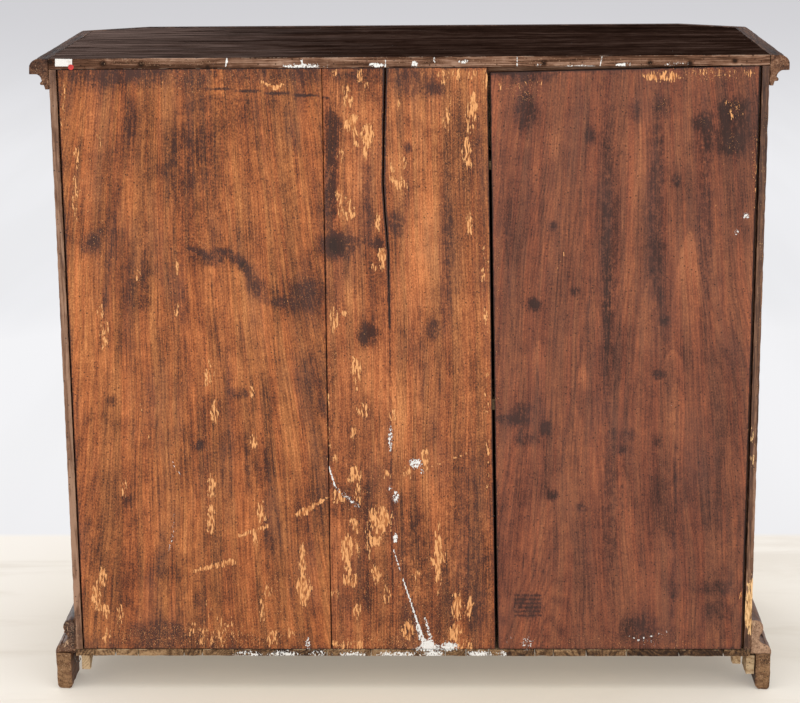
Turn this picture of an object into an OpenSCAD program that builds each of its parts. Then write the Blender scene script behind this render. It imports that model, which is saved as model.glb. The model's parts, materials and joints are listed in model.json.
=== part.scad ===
// Credenza with canted front corners, two drawers over two doors and a boarded back.
// Millimetres, +Z up, floor at z = 0. The front faces -Y and the back boards face +Y.
// Left and right are those of a person who faces the front, so left is -X.

/* [Carcass] */
// Width over the side panels
carcass_w = 1130; // [1060:5:1220]
// Depth from the front plane to the back plane
carcass_d = 495; // [450:5:550]
// Height from the floor to the upper face of the top
total_h = 1060; // [990:5:1130]
// Reach of a canted corner along the front
cant_w = 95; // [80:1:110]
// Reach of a canted corner along the side
cant_d = 58; // [48:1:68]
// Thickness of the top board
top_t = 17; // [14:1:22]
// Thickness of the side panels
side_t = 25; // [22:1:30]
// Width of the lip that a side panel leaves beside the back boards
side_lip = 12; // [9:0.5:14]
// Thickness of a corner post behind its canted face
post_t = 26; // [23:1:29]
// Width of a corner post's flat return on the front
post_return = 15; // [13:1:18]

/* [Floor] */
// Thickness of the floor boards
floor_t = 12; // [10:1:16]
// Drop of the floor boards below the lower edge of the plinth moulding
floor_drop = 5; // [2:1:8]
// Open joint between two floor boards
floor_gap = 0.8; // [0.4:0.1:2]
// Widths of the floor boards, laid from the right and repeated
floor_widths = [32.4, 34.6, 38.4, 76.9, 30.7, 55, 66.6, 88, 74, 92];

/* [Back] */
// Thickness of the back boards
back_t = 14; // [11:1:18]
// Width of the right back board
right_board_w = 416; // [380:1:440]
// Width of the middle back board at its top
middle_board_top_w = 259; // [240:1:270]
// Width of the middle back board at its foot
middle_board_foot_w = 274; // [255:1:290]
// Tight joint between the right and middle back boards
tight_joint = 1.2; // [0.6:0.1:2]
// Open joint between the middle and left back boards
open_joint = 4; // [2:0.5:6]
// Gap between the right back board and the lip of its side
right_edge_gap = 1.6; // [1:0.1:3]
// Gap between the left back board and the lip of its side
left_edge_gap = 3.6; // [1:0.1:5]
// Drop of the left back board's sloping top at its inner corner
sloping_top = 8.5; // [3:0.5:12]
// Length of the shrinkage crack in the middle back board
crack_len = 420; // [300:10:500]
// Width of that crack at its open top
crack_w = 2; // [1:0.1:3]
// Distance of that crack from the middle board's right edge
crack_inset = 99.5; // [80:0.5:120]
// Height of the rail behind the tops of the back boards
back_rail_h = 44; // [34:1:60]
// Thickness of that rail
back_rail_t = 20; // [16:1:24]

/* [Front frame] */
// Thickness of the rails, centre stile and doors
frame_t = 24; // [22:1:27]
// Width of the centre stile
stile_w = 60; // [50:1:70]
// Height of the rail under the top
top_rail_h = 40; // [34:1:46]
// Height of a drawer opening
drawer_open_h = 110; // [90:1:130]
// Height of the rail between drawers and doors
drawer_rail_h = 25; // [23:1:34]
// Height of the rail below the doors
bottom_rail_h = 77; // [68:1:90]
// Thickness of every tenon of the frame
tenon_t = 8; // [6:0.5:9]
// Length of the rails' tenons
tenon_l = 20; // [14:1:22]
// Length of the stiles' tenons
stub_l = 9; // [6:0.5:10]

/* [Mouldings] */
// Projection of the cornice from the carcass
cornice_out = 31; // [28:0.5:36]
// Height of the cornice
cornice_h = 49; // [45:0.5:56]
// Radius of the cornice's rounded upper edge
thumb_r = 16; // [12:0.5:20]
// Height from the top down to the underside of the cornice's lip
lip_drop = 24.5; // [22:0.5:27]
// Radius of the hollow below the lip
cove_r = 11; // [8:0.5:12]
// Radius of the small bead below the hollow
bead_r = 3.2; // [2:0.1:3.8]
// Projection of the cornice's neck, where the bead sits
neck_out = 11.5; // [9:0.5:14]
// Projection of the plinth moulding and of the feet
plinth_out = 34; // [31:0.5:38]
// Height of the plinth moulding
plinth_h = 59; // [54:0.5:64]
// Radius of the plinth moulding's rounded foot
toe_r = 14; // [12:0.5:16]
// Radius of the plinth moulding's hollow
hollow_r = 12.2; // [10:0.2:13]
// Projection of the plinth moulding at the bottom of its hollow
hollow_out = 14; // [11:0.5:16]
// Projection of the plinth moulding's rounded top
torus_out = 20; // [18:0.5:23]

/* [Feet] */
// Height of the feet
foot_h = 64; // [56:1:76]
// Thickness of the foot boards
foot_t = 26; // [20:1:28]
// Length of a bracket foot under the moulding
foot_len = 130; // [110:1:160]
// Length of a bracket foot on the ground
foot_base = 72; // [60:1:84]
// Radius of the worn lower edges of the feet
foot_wear_r = 7; // [3:0.5:9]
// Width of the glue blocks behind the feet
block_w = 15; // [12:1:20]
// Length of the glue blocks along the feet
block_len = 50; // [40:1:60]
// Height of the glue blocks' lower ends above the ground
block_lift = 25; // [16:1:32]
// Distance of the rear blocks and wedges from the back plane
block_inset = 6; // [2:1:10]
// Drop of the rear glue wedges
wedge_drop = 27; // [15:1:34]
// Length of the rear glue wedges
wedge_len = 65; // [45:1:80]

/* [Inside] */
// Thickness of the board under the drawers
dust_board_t = 14; // [11:1:16]
// Depth of the housings that hold boards in the sides
housing_d = 8; // [5:0.5:10]
// Thickness of the drawer guides, measured upwards
guide_h = 25; // [16:1:32]
// Width of the outer drawer guides
guide_w = 20; // [14:1:26]
// Width of the strips above the drawers
kicker_w = 30; // [24:1:40]
// Height of the shelf's upper face above the cupboard floor
shelf_h = 430; // [350:5:480]
// Thickness of the shelf
shelf_t = 18; // [14:1:22]
// Distance of the shelf's front edge from the front plane
shelf_setback = 92; // [85:1:140]
// Width of the shelf battens
batten_w = 20; // [14:1:28]
// Height of the shelf battens
batten_h = 30; // [20:1:40]

/* [Drawers] */
// Gap round a drawer front
drawer_gap = 1.5; // [1:0.1:2.5]
// Clearance between a drawer and the board it slides on
slide_gap = 0.3; // [0.2:0.05:0.5]
// Space between a closed drawer and the back rail
drawer_space = 31; // [20:1:60]
// Thickness of a drawer front
drawer_front_t = 22; // [20:1:26]
// Thickness of a drawer's sides
drawer_side_t = 12; // [10:1:15]
// Thickness of a drawer's back
drawer_back_t = 12; // [10:1:15]
// Thickness of a drawer's bottom
drawer_bottom_t = 6; // [4:0.5:8]
// Height of the drawer bottom above the sides' lower edges
drawer_bottom_up = 8; // [6:0.5:12]
// Depth of the grooves that hold a drawer's bottom
groove_d = 5; // [3:0.5:6]
// Clearance above a drawer's sides
kick_gap = 3; // [2:0.5:5]
// Length of the half-blind dovetails in a drawer front
dovetail_l = 15; // [12:0.5:17]
// Largest radius of a drawer knob
knob_r = 15; // [12:0.5:18]
// Projection of a drawer knob
knob_out = 30; // [24:1:31]
// Radius of a drawer knob's tenon
knob_tenon_r = 5; // [4:0.5:6]

/* [Doors] */
// Gap round a door
door_gap = 2; // [1.5:0.1:3]
// Width of the door's stiles
door_stile_w = 75; // [72:1:88]
// Width of the door's rails
door_rail_w = 75; // [64:1:90]
// Thickness of a door panel's edge in its groove
panel_edge_t = 8; // [6:0.5:9]
// Depth of the panel groove
panel_groove = 10; // [8:0.5:12]
// Thickness of a door panel at its raised field
panel_t = 13; // [11:0.5:14]
// Width of the flat margin round the raised field
panel_margin = 20; // [18:1:26]
// Width of the bevel round the raised field
panel_bevel = 28; // [16:1:36]
// Width of the door's applied moulding inside the frame
bolection_w = 17; // [14:0.5:17]
// Projection of that moulding from the door
bolection_out = 7; // [5:0.5:9]
// Lap of that moulding on the door frame
bolection_lap = 6; // [4:0.5:9]

/* [Ironwork] */
// Radius of a hinge knuckle
knuckle_r = 6; // [5:0.5:7]
// Length of a hinge knuckle
knuckle_l = 40; // [30:1:55]
// Radius of a hinge pin
hinge_pin_r = 3; // [2.5:0.1:3.5]
// Distance of the hinges from a door's ends
hinge_inset = 110; // [80:5:150]
// Length of a hinge leaf from the pin's axis
leaf_l = 16; // [13:0.5:17]
// Thickness of a hinge leaf
leaf_t = 2; // [1.5:0.1:2.5]
// Width of a lock case
lock_w = 68; // [66:1:72]
// Height of a lock case
lock_h = 74; // [66:1:90]
// Depth of a lock case behind the door
lock_d = 17; // [16:0.5:22]
// Thickness of the lock case's plates
plate_t = 2; // [1.5:0.1:2.5]
// Distance of the key from the door's edge
backset = 40; // [38:0.5:41]
// Reach of the key's bit from the key's axis
bit_r = 14; // [12:0.5:15]
// Thickness of the key's bit
bit_t = 3; // [2.4:0.2:3.4]
// Radius of the key's shank
shank_r = 3; // [2.5:0.1:3.4]
// Height of the lock bolt
bolt_h = 14; // [14:0.5:16]
// Thickness of the lock bolt
bolt_t = 6; // [5:0.5:7]
// Thickness of the collar on the key's shank
collar_t = 3; // [2:0.5:4]
// Length of the key's neck between its collar and its ring
bow_neck = 3; // [2:0.5:4]
// Outer radius of the key's ring
bow_r = 12; // [11:0.5:12]
// Inner radius of the key's ring
bow_hole_r = 7.5; // [6.5:0.5:8]
// Radius of the escutcheon
escutcheon_r = 17; // [15:0.5:20]
// Thickness of the escutcheon
escutcheon_t = 2; // [1.5:0.1:3]

/* [Hidden] */
$fn = 48;

// Named clearances
pin_fit = 0.05;
wood_fit = 0.1;
iron_fit = 0.3;
knuckle_fit = 0.4;
shank_fit = 1;
mitre_gap = 0.1;
panel_play = 1.5;
shelf_play = 0.5;
past = 5;

// Planes of the carcass
half_w = carcass_w / 2;
bow_centre = escutcheon_t + collar_t + bow_neck + bow_r;
key_out = bow_centre + bow_r;
front_reach = max(plinth_out, cornice_out, knob_out, key_out);
back_y = (carcass_d + front_reach) / 2;
front_y = back_y - carcass_d;
cant_y = front_y + cant_d;
cant_x = half_w - cant_w;
cant_a = atan2(cant_d, cant_w);
frame_y = front_y + frame_t;
boards_y = back_y - back_t;
rail_y = boards_y - back_rail_t;
inner_x = half_w - side_t;
lip_x = half_w - side_lip;
opening_x = cant_x - post_return;
half_stile = stile_w / 2;

// Levels
underfloor_z = foot_h - floor_drop;
floor_z = underfloor_z + floor_t;
ceiling_z = total_h - top_t;
frieze_top_z = ceiling_z - top_rail_h;
frieze_z = frieze_top_z - drawer_open_h;
door_top_z = frieze_z - drawer_rail_h;
door_foot_z = floor_z + bottom_rail_h;
shelf_z = floor_z + shelf_h - shelf_t;
key_z = (door_foot_z + door_top_z) / 2;

// Sizes of drawers and doors
drawer_x0 = half_stile + drawer_gap;
drawer_x1 = opening_x - drawer_gap;
drawer_y1 = rail_y - drawer_space;
drawer_foot_z = frieze_z + slide_gap;
drawer_side_h = drawer_open_h - slide_gap - kick_gap;
drawer_front_y = front_y + drawer_front_t;
drawer_back_y = drawer_y1 - drawer_back_t;
drawer_floor_z = drawer_foot_z + drawer_bottom_up;
door_x0 = half_stile + door_gap;
door_x1 = opening_x - door_gap;
door_z0 = door_foot_z + door_gap;
door_z1 = door_top_z - door_gap;
panel_x0 = door_x0 + door_stile_w;
panel_x1 = door_x1 - door_stile_w;
panel_z0 = door_z0 + door_rail_w;
panel_z1 = door_z1 - door_rail_w;
groove_y = front_y + (frame_t - panel_edge_t) / 2;
tenon_y = front_y + (frame_t - tenon_t) / 2;
shoulder = 6;

// Hinges and locks
hinge_x = opening_x - door_gap / 2;
hinge_levels = [door_z0 + hinge_inset, door_z1 - hinge_inset];
leaf_y = front_y + leaf_t;
tip_h = 7;
key_x = door_x0 + backset;
lock_x0 = door_x0 + 2;
bolt_y = frame_y + 0.5;
bit_y = bolt_y + 0.5;
bit_w = bolt_t - 1;
bolt_throw = 2 * bit_r * sin(45);
bolt_z0 = key_z + bit_r * cos(45) - 1;
talon_w = bit_t + 4.4;
talon_h = bit_r * (1 - cos(45)) + 1.5;
stump_r = 2;
stump_x = key_x + 2;
stump_z = bolt_z0 + talon_h + 2 + stump_r;

// Points of an arc from angle a0 to a1
function arc(centre, r, a0, a1, steps = 8) =
    [for (i = [0 : steps]) let (a = a0 + (a1 - a0) * i / steps)
        centre + r * [cos(a), sin(a)]];

// Corners of the carcass plan, moved outwards by o, from the right rear round to the left rear
function plan(o) =
    let (side_corner = [half_w + o, cant_y - o * tan((90 - cant_a) / 2)],
         front_corner = [cant_x + o * tan(cant_a / 2), front_y - o])
    [[half_w + o, back_y], side_corner, front_corner,
     [-front_corner.x, front_corner.y], [-side_corner.x, side_corner.y], [-half_w - o, back_y]];

// A line parallel to the right canted face and o outside it: its x at y, and its y at x
function cant_line_x(y, o) = cant_x + (o + (y - front_y) * cos(cant_a)) / sin(cant_a);
function cant_line_y(x, o) = front_y + ((x - cant_x) * sin(cant_a) - o) / cos(cant_a);

// Left ends where the floor boards start, counted from the right side
function floor_starts(x, i) =
    x > carcass_w - 20 ? [] :
    concat([x], floor_starts(x + floor_widths[i % len(floor_widths)], i + 1));

// Profiles, as points out from the carcass and up from the moulding's foot
function cornice_profile() =
    let (bead_top = cornice_h - lip_drop - cove_r, neck_z = bead_top - 2 * bead_r)
    concat(
        [[0, cornice_h]],
        arc([cornice_out - thumb_r, cornice_h - thumb_r], thumb_r, 90, 0),
        [[cornice_out, cornice_h - lip_drop]],
        arc([neck_out + cove_r, bead_top], cove_r, 90, 180),
        arc([neck_out, bead_top - bead_r], bead_r, 80, -80, 6),
        [[neck_out - 3, neck_z], [neck_out - 5, 0], [0, 0]]
    );

function plinth_profile() =
    let (toe_z = 3,
         hollow_z = toe_z + toe_r * sin(70) + hollow_r * sin(85),
         torus_foot = hollow_z + hollow_r * sin(55),
         torus_r = (plinth_h - torus_foot) / (1 + sin(35)))
    concat(
        [[0, plinth_h]],
        arc([torus_out - torus_r, plinth_h - torus_r], torus_r, 90, -35),
        arc([hollow_out + hollow_r, hollow_z], hollow_r, 125, 265),
        arc([plinth_out - toe_r, toe_z], toe_r, 70, 0, 6),
        [[plinth_out, 0], [0, 0]]
    );

// Points in from the edge of the door panel's opening and out from the door
function bolection_profile() =
    let (panel_drop = (frame_t - panel_edge_t) / 2,
         hollow = bolection_w - 6,
         rise = bolection_out - 2)
    concat(
        [[0, -panel_drop], [0, 0], [-bolection_lap, 0]],
        arc([-bolection_lap + rise, 2], rise, 180, 90, 5),
        arc([2, bolection_out - 3], 3, 90, 0, 5),
        arc([bolection_w, hollow + 1 - panel_drop], hollow, 180, 270, 6),
        [[bolection_w, -panel_drop]]
    );

// Places children in the frame of plan side i: X along it, Y outwards
module along(i) {
    from = plan(0)[i];
    to = plan(0)[i + 1];
    translate([from.x, from.y, 0])
        rotate([0, 0, atan2(to.y - from.y, to.x - from.x)])
            children();
}

function side_length(i) = norm(plan(0)[i + 1] - plan(0)[i]);

// The space outside plan side i, cut off by the mitres at its ends
module mitred_space(i, from_z, to_z) {
    near = plan(-1);
    far = plan(front_reach + past);
    step = (plan(0)[i + 1] - plan(0)[i]) / side_length(i) * mitre_gap / 2;
    start = i == 0 ? [0, 0] : step;
    end = i == 4 ? [0, 0] : -step;
    translate([0, 0, from_z])
        linear_extrude(to_z - from_z)
            polygon([near[i] + start, near[i + 1] + end, far[i + 1] + end, far[i] + start]);
}

// A length of moulding on plan side i with its foot at z
module moulding(i, profile, z, h) {
    reach = front_reach + past;
    intersection() {
        mitred_space(i, z - past, z + h + past);
        along(i)
            translate([-reach, 0, z])
                rotate([90, 0, 90])
                    linear_extrude(side_length(i) + 2 * reach)
                        polygon(profile);
    }
}

// Outline of a bracket foot, along the carcass from its corner
module bracket_outline(margin) {
    heel = 10;
    ledge = 5;
    sweep_r = foot_h - heel - 2 * ledge - 4;
    polygon(concat(
        [[-margin, 0], [foot_base, 0], [foot_base, heel]],
        arc([foot_base + sweep_r, heel], sweep_r, 180, 90, 10),
        [[foot_base + sweep_r, heel + sweep_r + ledge],
         [foot_len, heel + sweep_r + ledge],
         [foot_len, foot_h], [-margin, foot_h]]
    ));
}

// Cross-section of a foot board, with its lower edges worn round
module foot_section() {
    inner = plinth_out - foot_t;
    r = foot_wear_r;
    polygon(concat(
        [[inner, foot_h]],
        arc([inner + r, r], r, 180, 270, 5),
        arc([plinth_out - r, r], r, 270, 360, 5),
        [[plinth_out, foot_h]]
    ));
}

// A foot board on plan side i, mitred at its corner. shaped brackets run from one end.
module foot_board(i, from_end, shaped = true) {
    reach = front_reach + past;
    intersection() {
        mitred_space(i, -past, foot_h + past);
        along(i) {
            translate([-reach, 0, 0])
                rotate([90, 0, 90])
                    linear_extrude(side_length(i) + 2 * reach)
                        foot_section();
        }
        along(i) {
            if (shaped)
                translate([from_end ? side_length(i) : 0, 0, 0])
                    mirror([from_end ? 1 : 0, 0, 0])
                        translate([0, reach, 0])
                            rotate([90, 0, 0])
                                linear_extrude(reach)
                                    bracket_outline(reach);
            else
                translate([-reach, 0, 0])
                    cube([side_length(i) + 2 * reach, reach, foot_h]);
        }
    }
}

// A box from corner a to corner b
module box(a, b) {
    translate(a)
        cube(b - a);
}

// A plate with its outline in X and Z, from y to y + t
module upright(points, y, t) {
    translate([0, y + t, 0])
        rotate([90, 0, 0])
            linear_extrude(t)
                polygon(points);
}

// Children as drawn on the right, or mirrored to the left
module on_side(right) {
    mirror([right ? 0 : 1, 0, 0])
        children();
}

// Top and mouldings

module top_board() {
    color("#2d1d17")
        translate([0, 0, ceiling_z])
            linear_extrude(top_t)
                polygon(plan(0));
}

module cornice(sides) {
    color("#4a2b1c")
        for (i = sides)
            moulding(i, cornice_profile(), total_h - cornice_h, cornice_h);
}

module plinth(sides) {
    color("#4a2b1c")
        for (i = sides)
            moulding(i, plinth_profile(), foot_h, plinth_h);
}

// Carcass

// Tongue of a corner post in the front edge of its side panel
module post_tongue(fit) {
    tongue_t = side_t / 4;
    middle = half_w - side_t / 2;
    box([middle - tongue_t / 2 - fit, cant_y - 1, floor_z],
        [middle + tongue_t / 2 + fit, cant_y + 10 + fit, ceiling_z]);
}

module side_panel(right) {
    color("#5a3220")
        on_side(right)
            difference() {
                box([inner_x, cant_y, floor_z], [half_w, back_y, ceiling_z]);
                box([inner_x - 1, boards_y, floor_z - 1], [lip_x, back_y + 1, ceiling_z + 1]);
                post_tongue(wood_fit);
                board_housing(frieze_z - dust_board_t, dust_board_t);
                rail_housing();
            }
}

// Housing for the ends of the dust board
module board_housing(z, t) {
    box([inner_x - 1, front_y + shelf_setback, z], [inner_x + housing_d, boards_y + 1, z + t]);
}

// Housing for the ends of the back rail
module rail_housing() {
    box([inner_x - 1, rail_y, ceiling_z - back_rail_h], [inner_x + housing_d, boards_y + 1, ceiling_z + 1]);
}

module corner_post(right) {
    inner_corner_x = max(opening_x + 1, cant_line_x(frame_y, -post_t));
    color("#5a3220")
        on_side(right)
            difference() {
                union() {
                    translate([0, 0, floor_z])
                        linear_extrude(ceiling_z - floor_z)
                            polygon([
                                [half_w, cant_y], [cant_x, front_y], [opening_x, front_y],
                                [opening_x, frame_y], [inner_corner_x, frame_y],
                                [inner_x, cant_line_y(inner_x, -post_t)], [inner_x, cant_y]
                            ]);
                    post_tongue(0);
                }
                for (rail = rails())
                    rail_tenon(rail[0], rail[1], wood_fit);
                for (z = hinge_levels) {
                    knuckle_clearance(z);
                    hinge_leaf(z - knuckle_l, 1, wood_fit);
                }
            }
}

// Back boards, drawn in X and Z

right_board_x = lip_x - right_edge_gap;
tight_joint_x = right_board_x - right_board_w;
middle_board_x = tight_joint_x - tight_joint;
open_joint_top_x = middle_board_x - middle_board_top_w;
open_joint_foot_x = middle_board_x - middle_board_foot_w;

module back_board_right() {
    color("#8a4a26")
        box([tight_joint_x, boards_y, floor_z], [right_board_x, back_y, ceiling_z]);
}

module back_board_middle() {
    crack_x = middle_board_x - crack_inset;
    crack_foot = ceiling_z - crack_len;
    color("#8a4a26")
        difference() {
            upright([
                [open_joint_foot_x, floor_z], [middle_board_x, floor_z],
                [middle_board_x, ceiling_z], [open_joint_top_x, ceiling_z]
            ], boards_y, back_t);
            upright([
                [crack_x - crack_w / 2, ceiling_z + 1], [crack_x + crack_w / 2, ceiling_z + 1],
                [crack_x - crack_w / 2, ceiling_z - crack_len * 0.6],
                [crack_x, crack_foot],
                [crack_x - crack_w, ceiling_z - crack_len * 0.6]
            ], boards_y - 1, back_t + 2);
        }
}

module back_board_left() {
    outer_x = -lip_x + left_edge_gap;
    color("#6b3420")
        upright([
            [outer_x, floor_z], [open_joint_foot_x - open_joint, floor_z],
            [open_joint_top_x - open_joint, ceiling_z - sloping_top], [outer_x, ceiling_z]
        ], boards_y, back_t);
}

module back_rail() {
    color("#9a7448")
        box([-inner_x - housing_d, rail_y, ceiling_z - back_rail_h],
            [inner_x + housing_d, boards_y, ceiling_z]);
}

module floor_boards() {
    starts = floor_starts(0, 0);
    color("#b08a58")
        for (i = [0 : len(starts) - 1]) {
            right_x = half_w - starts[i];
            left_x = i + 1 < len(starts) ? half_w - starts[i + 1] + floor_gap : -half_w;
            intersection() {
                translate([0, 0, underfloor_z])
                    linear_extrude(floor_t)
                        polygon(plan(0));
                box([left_x, front_y - 1, underfloor_z - 1], [right_x, back_y + 1, floor_z + 1]);
            }
        }
}

// Front frame

// Foot and height of each rail that is tenoned into the corner posts
function rails() = [
    [frieze_top_z, top_rail_h], [frieze_z - drawer_rail_h, drawer_rail_h], [floor_z, bottom_rail_h]
];

module rail_tenon(z, h, fit) {
    box([opening_x - 1, tenon_y - fit, z + shoulder - fit],
        [opening_x + tenon_l + fit, tenon_y + tenon_t + fit, z + h - shoulder + fit]);
}

// Tenon of the centre or frieze stile, in a rail's edge at z
module stile_tenon(z, up, fit) {
    z0 = up ? z - 1 : z - stub_l - fit;
    z1 = up ? z + stub_l + fit : z + 1;
    box([-half_stile + 10 - fit, tenon_y - fit, z0], [half_stile - 10 + fit, tenon_y + tenon_t + fit, z1]);
}

module frame_rail(z, h) {
    color("#5a3220")
        difference() {
            union() {
                box([-opening_x, front_y, z], [opening_x, frame_y, z + h]);
                for (right = [false, true])
                    on_side(right)
                        rail_tenon(z, h, 0);
            }
            stile_tenon(door_foot_z, false, wood_fit);
            stile_tenon(door_top_z, true, wood_fit);
            stile_tenon(frieze_z, false, wood_fit);
            stile_tenon(frieze_top_z, true, wood_fit);
        }
}

module frame_stile(z0, z1) {
    color("#5a3220")
        union() {
            box([-half_stile, front_y, z0], [half_stile, frame_y, z1]);
            stile_tenon(z0, false, 0);
            stile_tenon(z1, true, 0);
        }
}

// Inside

module dust_board() {
    z = frieze_z - dust_board_t;
    fit_x = cant_line_x(frame_y, -post_t - 1);
    housing_y = front_y + shelf_setback;
    corner_y = cant_line_y(inner_x, -post_t - 1);
    right_half = [
        [opening_x, frame_y], [max(opening_x, fit_x), frame_y], [inner_x, corner_y],
        [inner_x, housing_y], [inner_x + housing_d, housing_y], [inner_x + housing_d, boards_y]
    ];
    left_half = [for (i = [len(right_half) - 1 : -1 : 0]) [-right_half[i].x, right_half[i].y]];
    color("#a9834f")
        translate([0, 0, z])
            linear_extrude(dust_board_t)
                polygon(concat(right_half, left_half));
}

module drawer_runners() {
    guide_y = frame_y + guide_w;
    color("#a9834f") {
        box([-half_stile, frame_y, frieze_z], [half_stile, boards_y, frieze_z + guide_h]);
        box([-half_stile - drawer_side_t, frame_y, frieze_top_z],
            [half_stile + drawer_side_t, rail_y, ceiling_z]);
        for (right = [false, true])
            on_side(right) {
                box([opening_x, guide_y, frieze_z], [opening_x + guide_w, boards_y, frieze_z + guide_h]);
                box([opening_x - kicker_w, frame_y, frieze_top_z], [opening_x, rail_y, ceiling_z]);
            }
    }
}

module shelf() {
    color("#a9834f")
        box([-inner_x + shelf_play, front_y + shelf_setback, shelf_z],
            [inner_x - shelf_play, boards_y - shelf_play, shelf_z + shelf_t]);
}

module shelf_battens() {
    color("#a9834f")
        for (right = [false, true])
            on_side(right)
                box([inner_x - batten_w, front_y + shelf_setback, shelf_z - batten_h],
                    [inner_x, boards_y, shelf_z]);
}

// Feet

module rear_feet() {
    color("#54331f") {
        foot_board(0, false);
        foot_board(4, true);
    }
}

module front_feet() {
    color("#54331f") {
        foot_board(0, true);
        foot_board(1, true, false);
        foot_board(2, false);
        foot_board(2, true);
        foot_board(3, true, false);
        foot_board(4, false);
    }
}

// A glue wedge below the floor, deepest at the back and tapering to nothing forwards
module glue_wedge(x, drop, length) {
    rear = back_y - block_inset;
    blunt = 12;
    translate([x, 0, 0])
        rotate([90, 0, 90])
            linear_extrude(block_w)
                polygon([
                    [rear, underfloor_z], [rear, underfloor_z - drop],
                    [rear - blunt, underfloor_z - drop], [rear - length, underfloor_z]
                ]);
}

module glue_blocks() {
    foot_x = half_w + plinth_out - foot_t;
    foot_y = front_y - plinth_out + foot_t;
    corner = 12;
    rear_block_y = back_y - block_inset - wedge_len - corner;
    color("#a37a48") {
        glue_wedge(half_w - 1.5 * block_w, wedge_drop, wedge_len);
        glue_wedge(-half_w + block_w, wedge_drop * 0.6, wedge_len * 0.8);
        box([-foot_x, back_y - block_inset - block_len, block_lift],
            [-foot_x + block_w, back_y - block_inset, underfloor_z]);
        for (right = [false, true])
            on_side(right) {
                box([foot_x - 2 * block_w, rear_block_y - block_len, block_lift],
                    [foot_x, rear_block_y, underfloor_z]);
                box([foot_x - 2 * block_w, cant_y + corner, block_lift],
                    [foot_x, cant_y + corner + block_len, underfloor_z]);
                box([cant_x - corner - block_len, foot_y, block_lift],
                    [cant_x - corner, front_y + 2 * block_w, underfloor_z]);
            }
    }
}

// Drawers, drawn on the right

// Tails on a board's end. They start at y and run by l towards -Y, or +Y where l is negative.
module tails(x, y, z, h, l, t, fit) {
    count = 3;
    pitch = h / count;
    neck = pitch * 0.22;
    flare = pitch * 0.32;
    for (i = [0 : count - 1]) {
        middle = z + pitch * (i + 0.5);
        translate([x - fit, 0, 0])
            rotate([90, 0, 90])
                linear_extrude(t + 2 * fit)
                    polygon([
                        [y, middle - neck - fit], [y - l, middle - flare - fit],
                        [y - l, middle + flare + fit], [y, middle + neck + fit]
                    ]);
    }
}

// Where the left edge of each drawer side lies
function drawer_side_xs() = [drawer_x0, drawer_x1 - drawer_side_t];

// Foot and height of the drawer back, which stands on the bottom
drawer_back_z = drawer_floor_z + drawer_bottom_t + wood_fit;
drawer_back_h = drawer_foot_z + drawer_side_h - drawer_back_z;

module drawer_tails(fit) {
    for (x = drawer_side_xs()) {
        tails(x, drawer_front_y, drawer_foot_z, drawer_side_h, dovetail_l, drawer_side_t, fit);
        tails(x, drawer_back_y, drawer_back_z, drawer_back_h, -drawer_back_t, drawer_side_t, fit);
    }
}

module drawer_bottom_board(fit) {
    x0 = drawer_x0 + drawer_side_t - groove_d;
    x1 = drawer_x1 - drawer_side_t + groove_d;
    box([x0 - fit, drawer_front_y - groove_d - fit, drawer_floor_z - fit],
        [x1 + fit, drawer_y1, drawer_floor_z + drawer_bottom_t + fit]);
}

module drawer_front(right) {
    color("#6b3a22")
        on_side(right)
            difference() {
                box([drawer_x0, front_y, frieze_z + drawer_gap],
                    [drawer_x1, drawer_front_y, frieze_top_z - drawer_gap]);
                drawer_tails(wood_fit);
                drawer_bottom_board(wood_fit);
                knob_place()
                    translate([0, 0, -drawer_front_t - 1])
                        cylinder(r = knob_tenon_r + wood_fit, h = drawer_front_t + 2);
            }
}

module drawer_sides(right) {
    color("#b08a58")
        on_side(right)
            difference() {
                union() {
                    for (x = drawer_side_xs()) {
                        box([x, drawer_front_y, drawer_foot_z],
                            [x + drawer_side_t, drawer_back_y, drawer_foot_z + drawer_side_h]);
                        box([x, drawer_back_y - 1, drawer_foot_z],
                            [x + drawer_side_t, drawer_y1, drawer_back_z - wood_fit]);
                    }
                    intersection() {
                        drawer_tails(0);
                        box([drawer_x0, front_y, drawer_foot_z],
                            [drawer_x1, drawer_y1, drawer_foot_z + drawer_side_h]);
                    }
                }
                drawer_bottom_board(wood_fit);
            }
}

module drawer_back(right) {
    color("#b08a58")
        on_side(right)
            difference() {
                box([drawer_x0, drawer_back_y, drawer_back_z],
                    [drawer_x1, drawer_y1, drawer_back_z + drawer_back_h]);
                drawer_tails(wood_fit);
            }
}

module drawer_bottom(right) {
    color("#b9945f")
        on_side(right)
            drawer_bottom_board(0);
}

// The knob's axis, with +Z out of the drawer front
module knob_place() {
    translate([(drawer_x0 + drawer_x1) / 2, front_y, (frieze_z + frieze_top_z) / 2])
        rotate([90, 0, 0])
            children();
}

module drawer_knob(right) {
    neck_r = knob_r * 0.45;
    head_z = knob_out - knob_r * 0.7;
    color("#3a2117")
        on_side(right)
            knob_place()
                rotate_extrude()
                    polygon(concat(
                        [[0, -drawer_front_t], [knob_tenon_r, -drawer_front_t], [knob_tenon_r, 0]],
                        [[knob_r * 0.75, 0], [knob_r * 0.75, 3]],
                        arc([knob_r * 0.75 + 1, 3 + (head_z - 3) / 2], (head_z - 3) / 2, 270, 90, 8),
                        arc([knob_r - 6, head_z + 5], 6, 315, 450, 8),
                        [[0, knob_out]]
                    ));
}

// Doors, drawn on the right

module door_stiles(right) {
    color("#5f3320")
        on_side(right)
            difference() {
                for (x = [door_x0, door_x1 - door_stile_w])
                    box([x, front_y, door_z0], [x + door_stile_w, front_y + frame_t, door_z1]);
                door_panel_plate(panel_play, wood_fit);
                door_rail_bodies(wood_fit);
                keyhole(front_y - 1, frame_t + 2);
                for (z = hinge_levels) {
                    knuckle_clearance(z);
                    hinge_leaf(z, -1, wood_fit);
                }
            }
}

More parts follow.
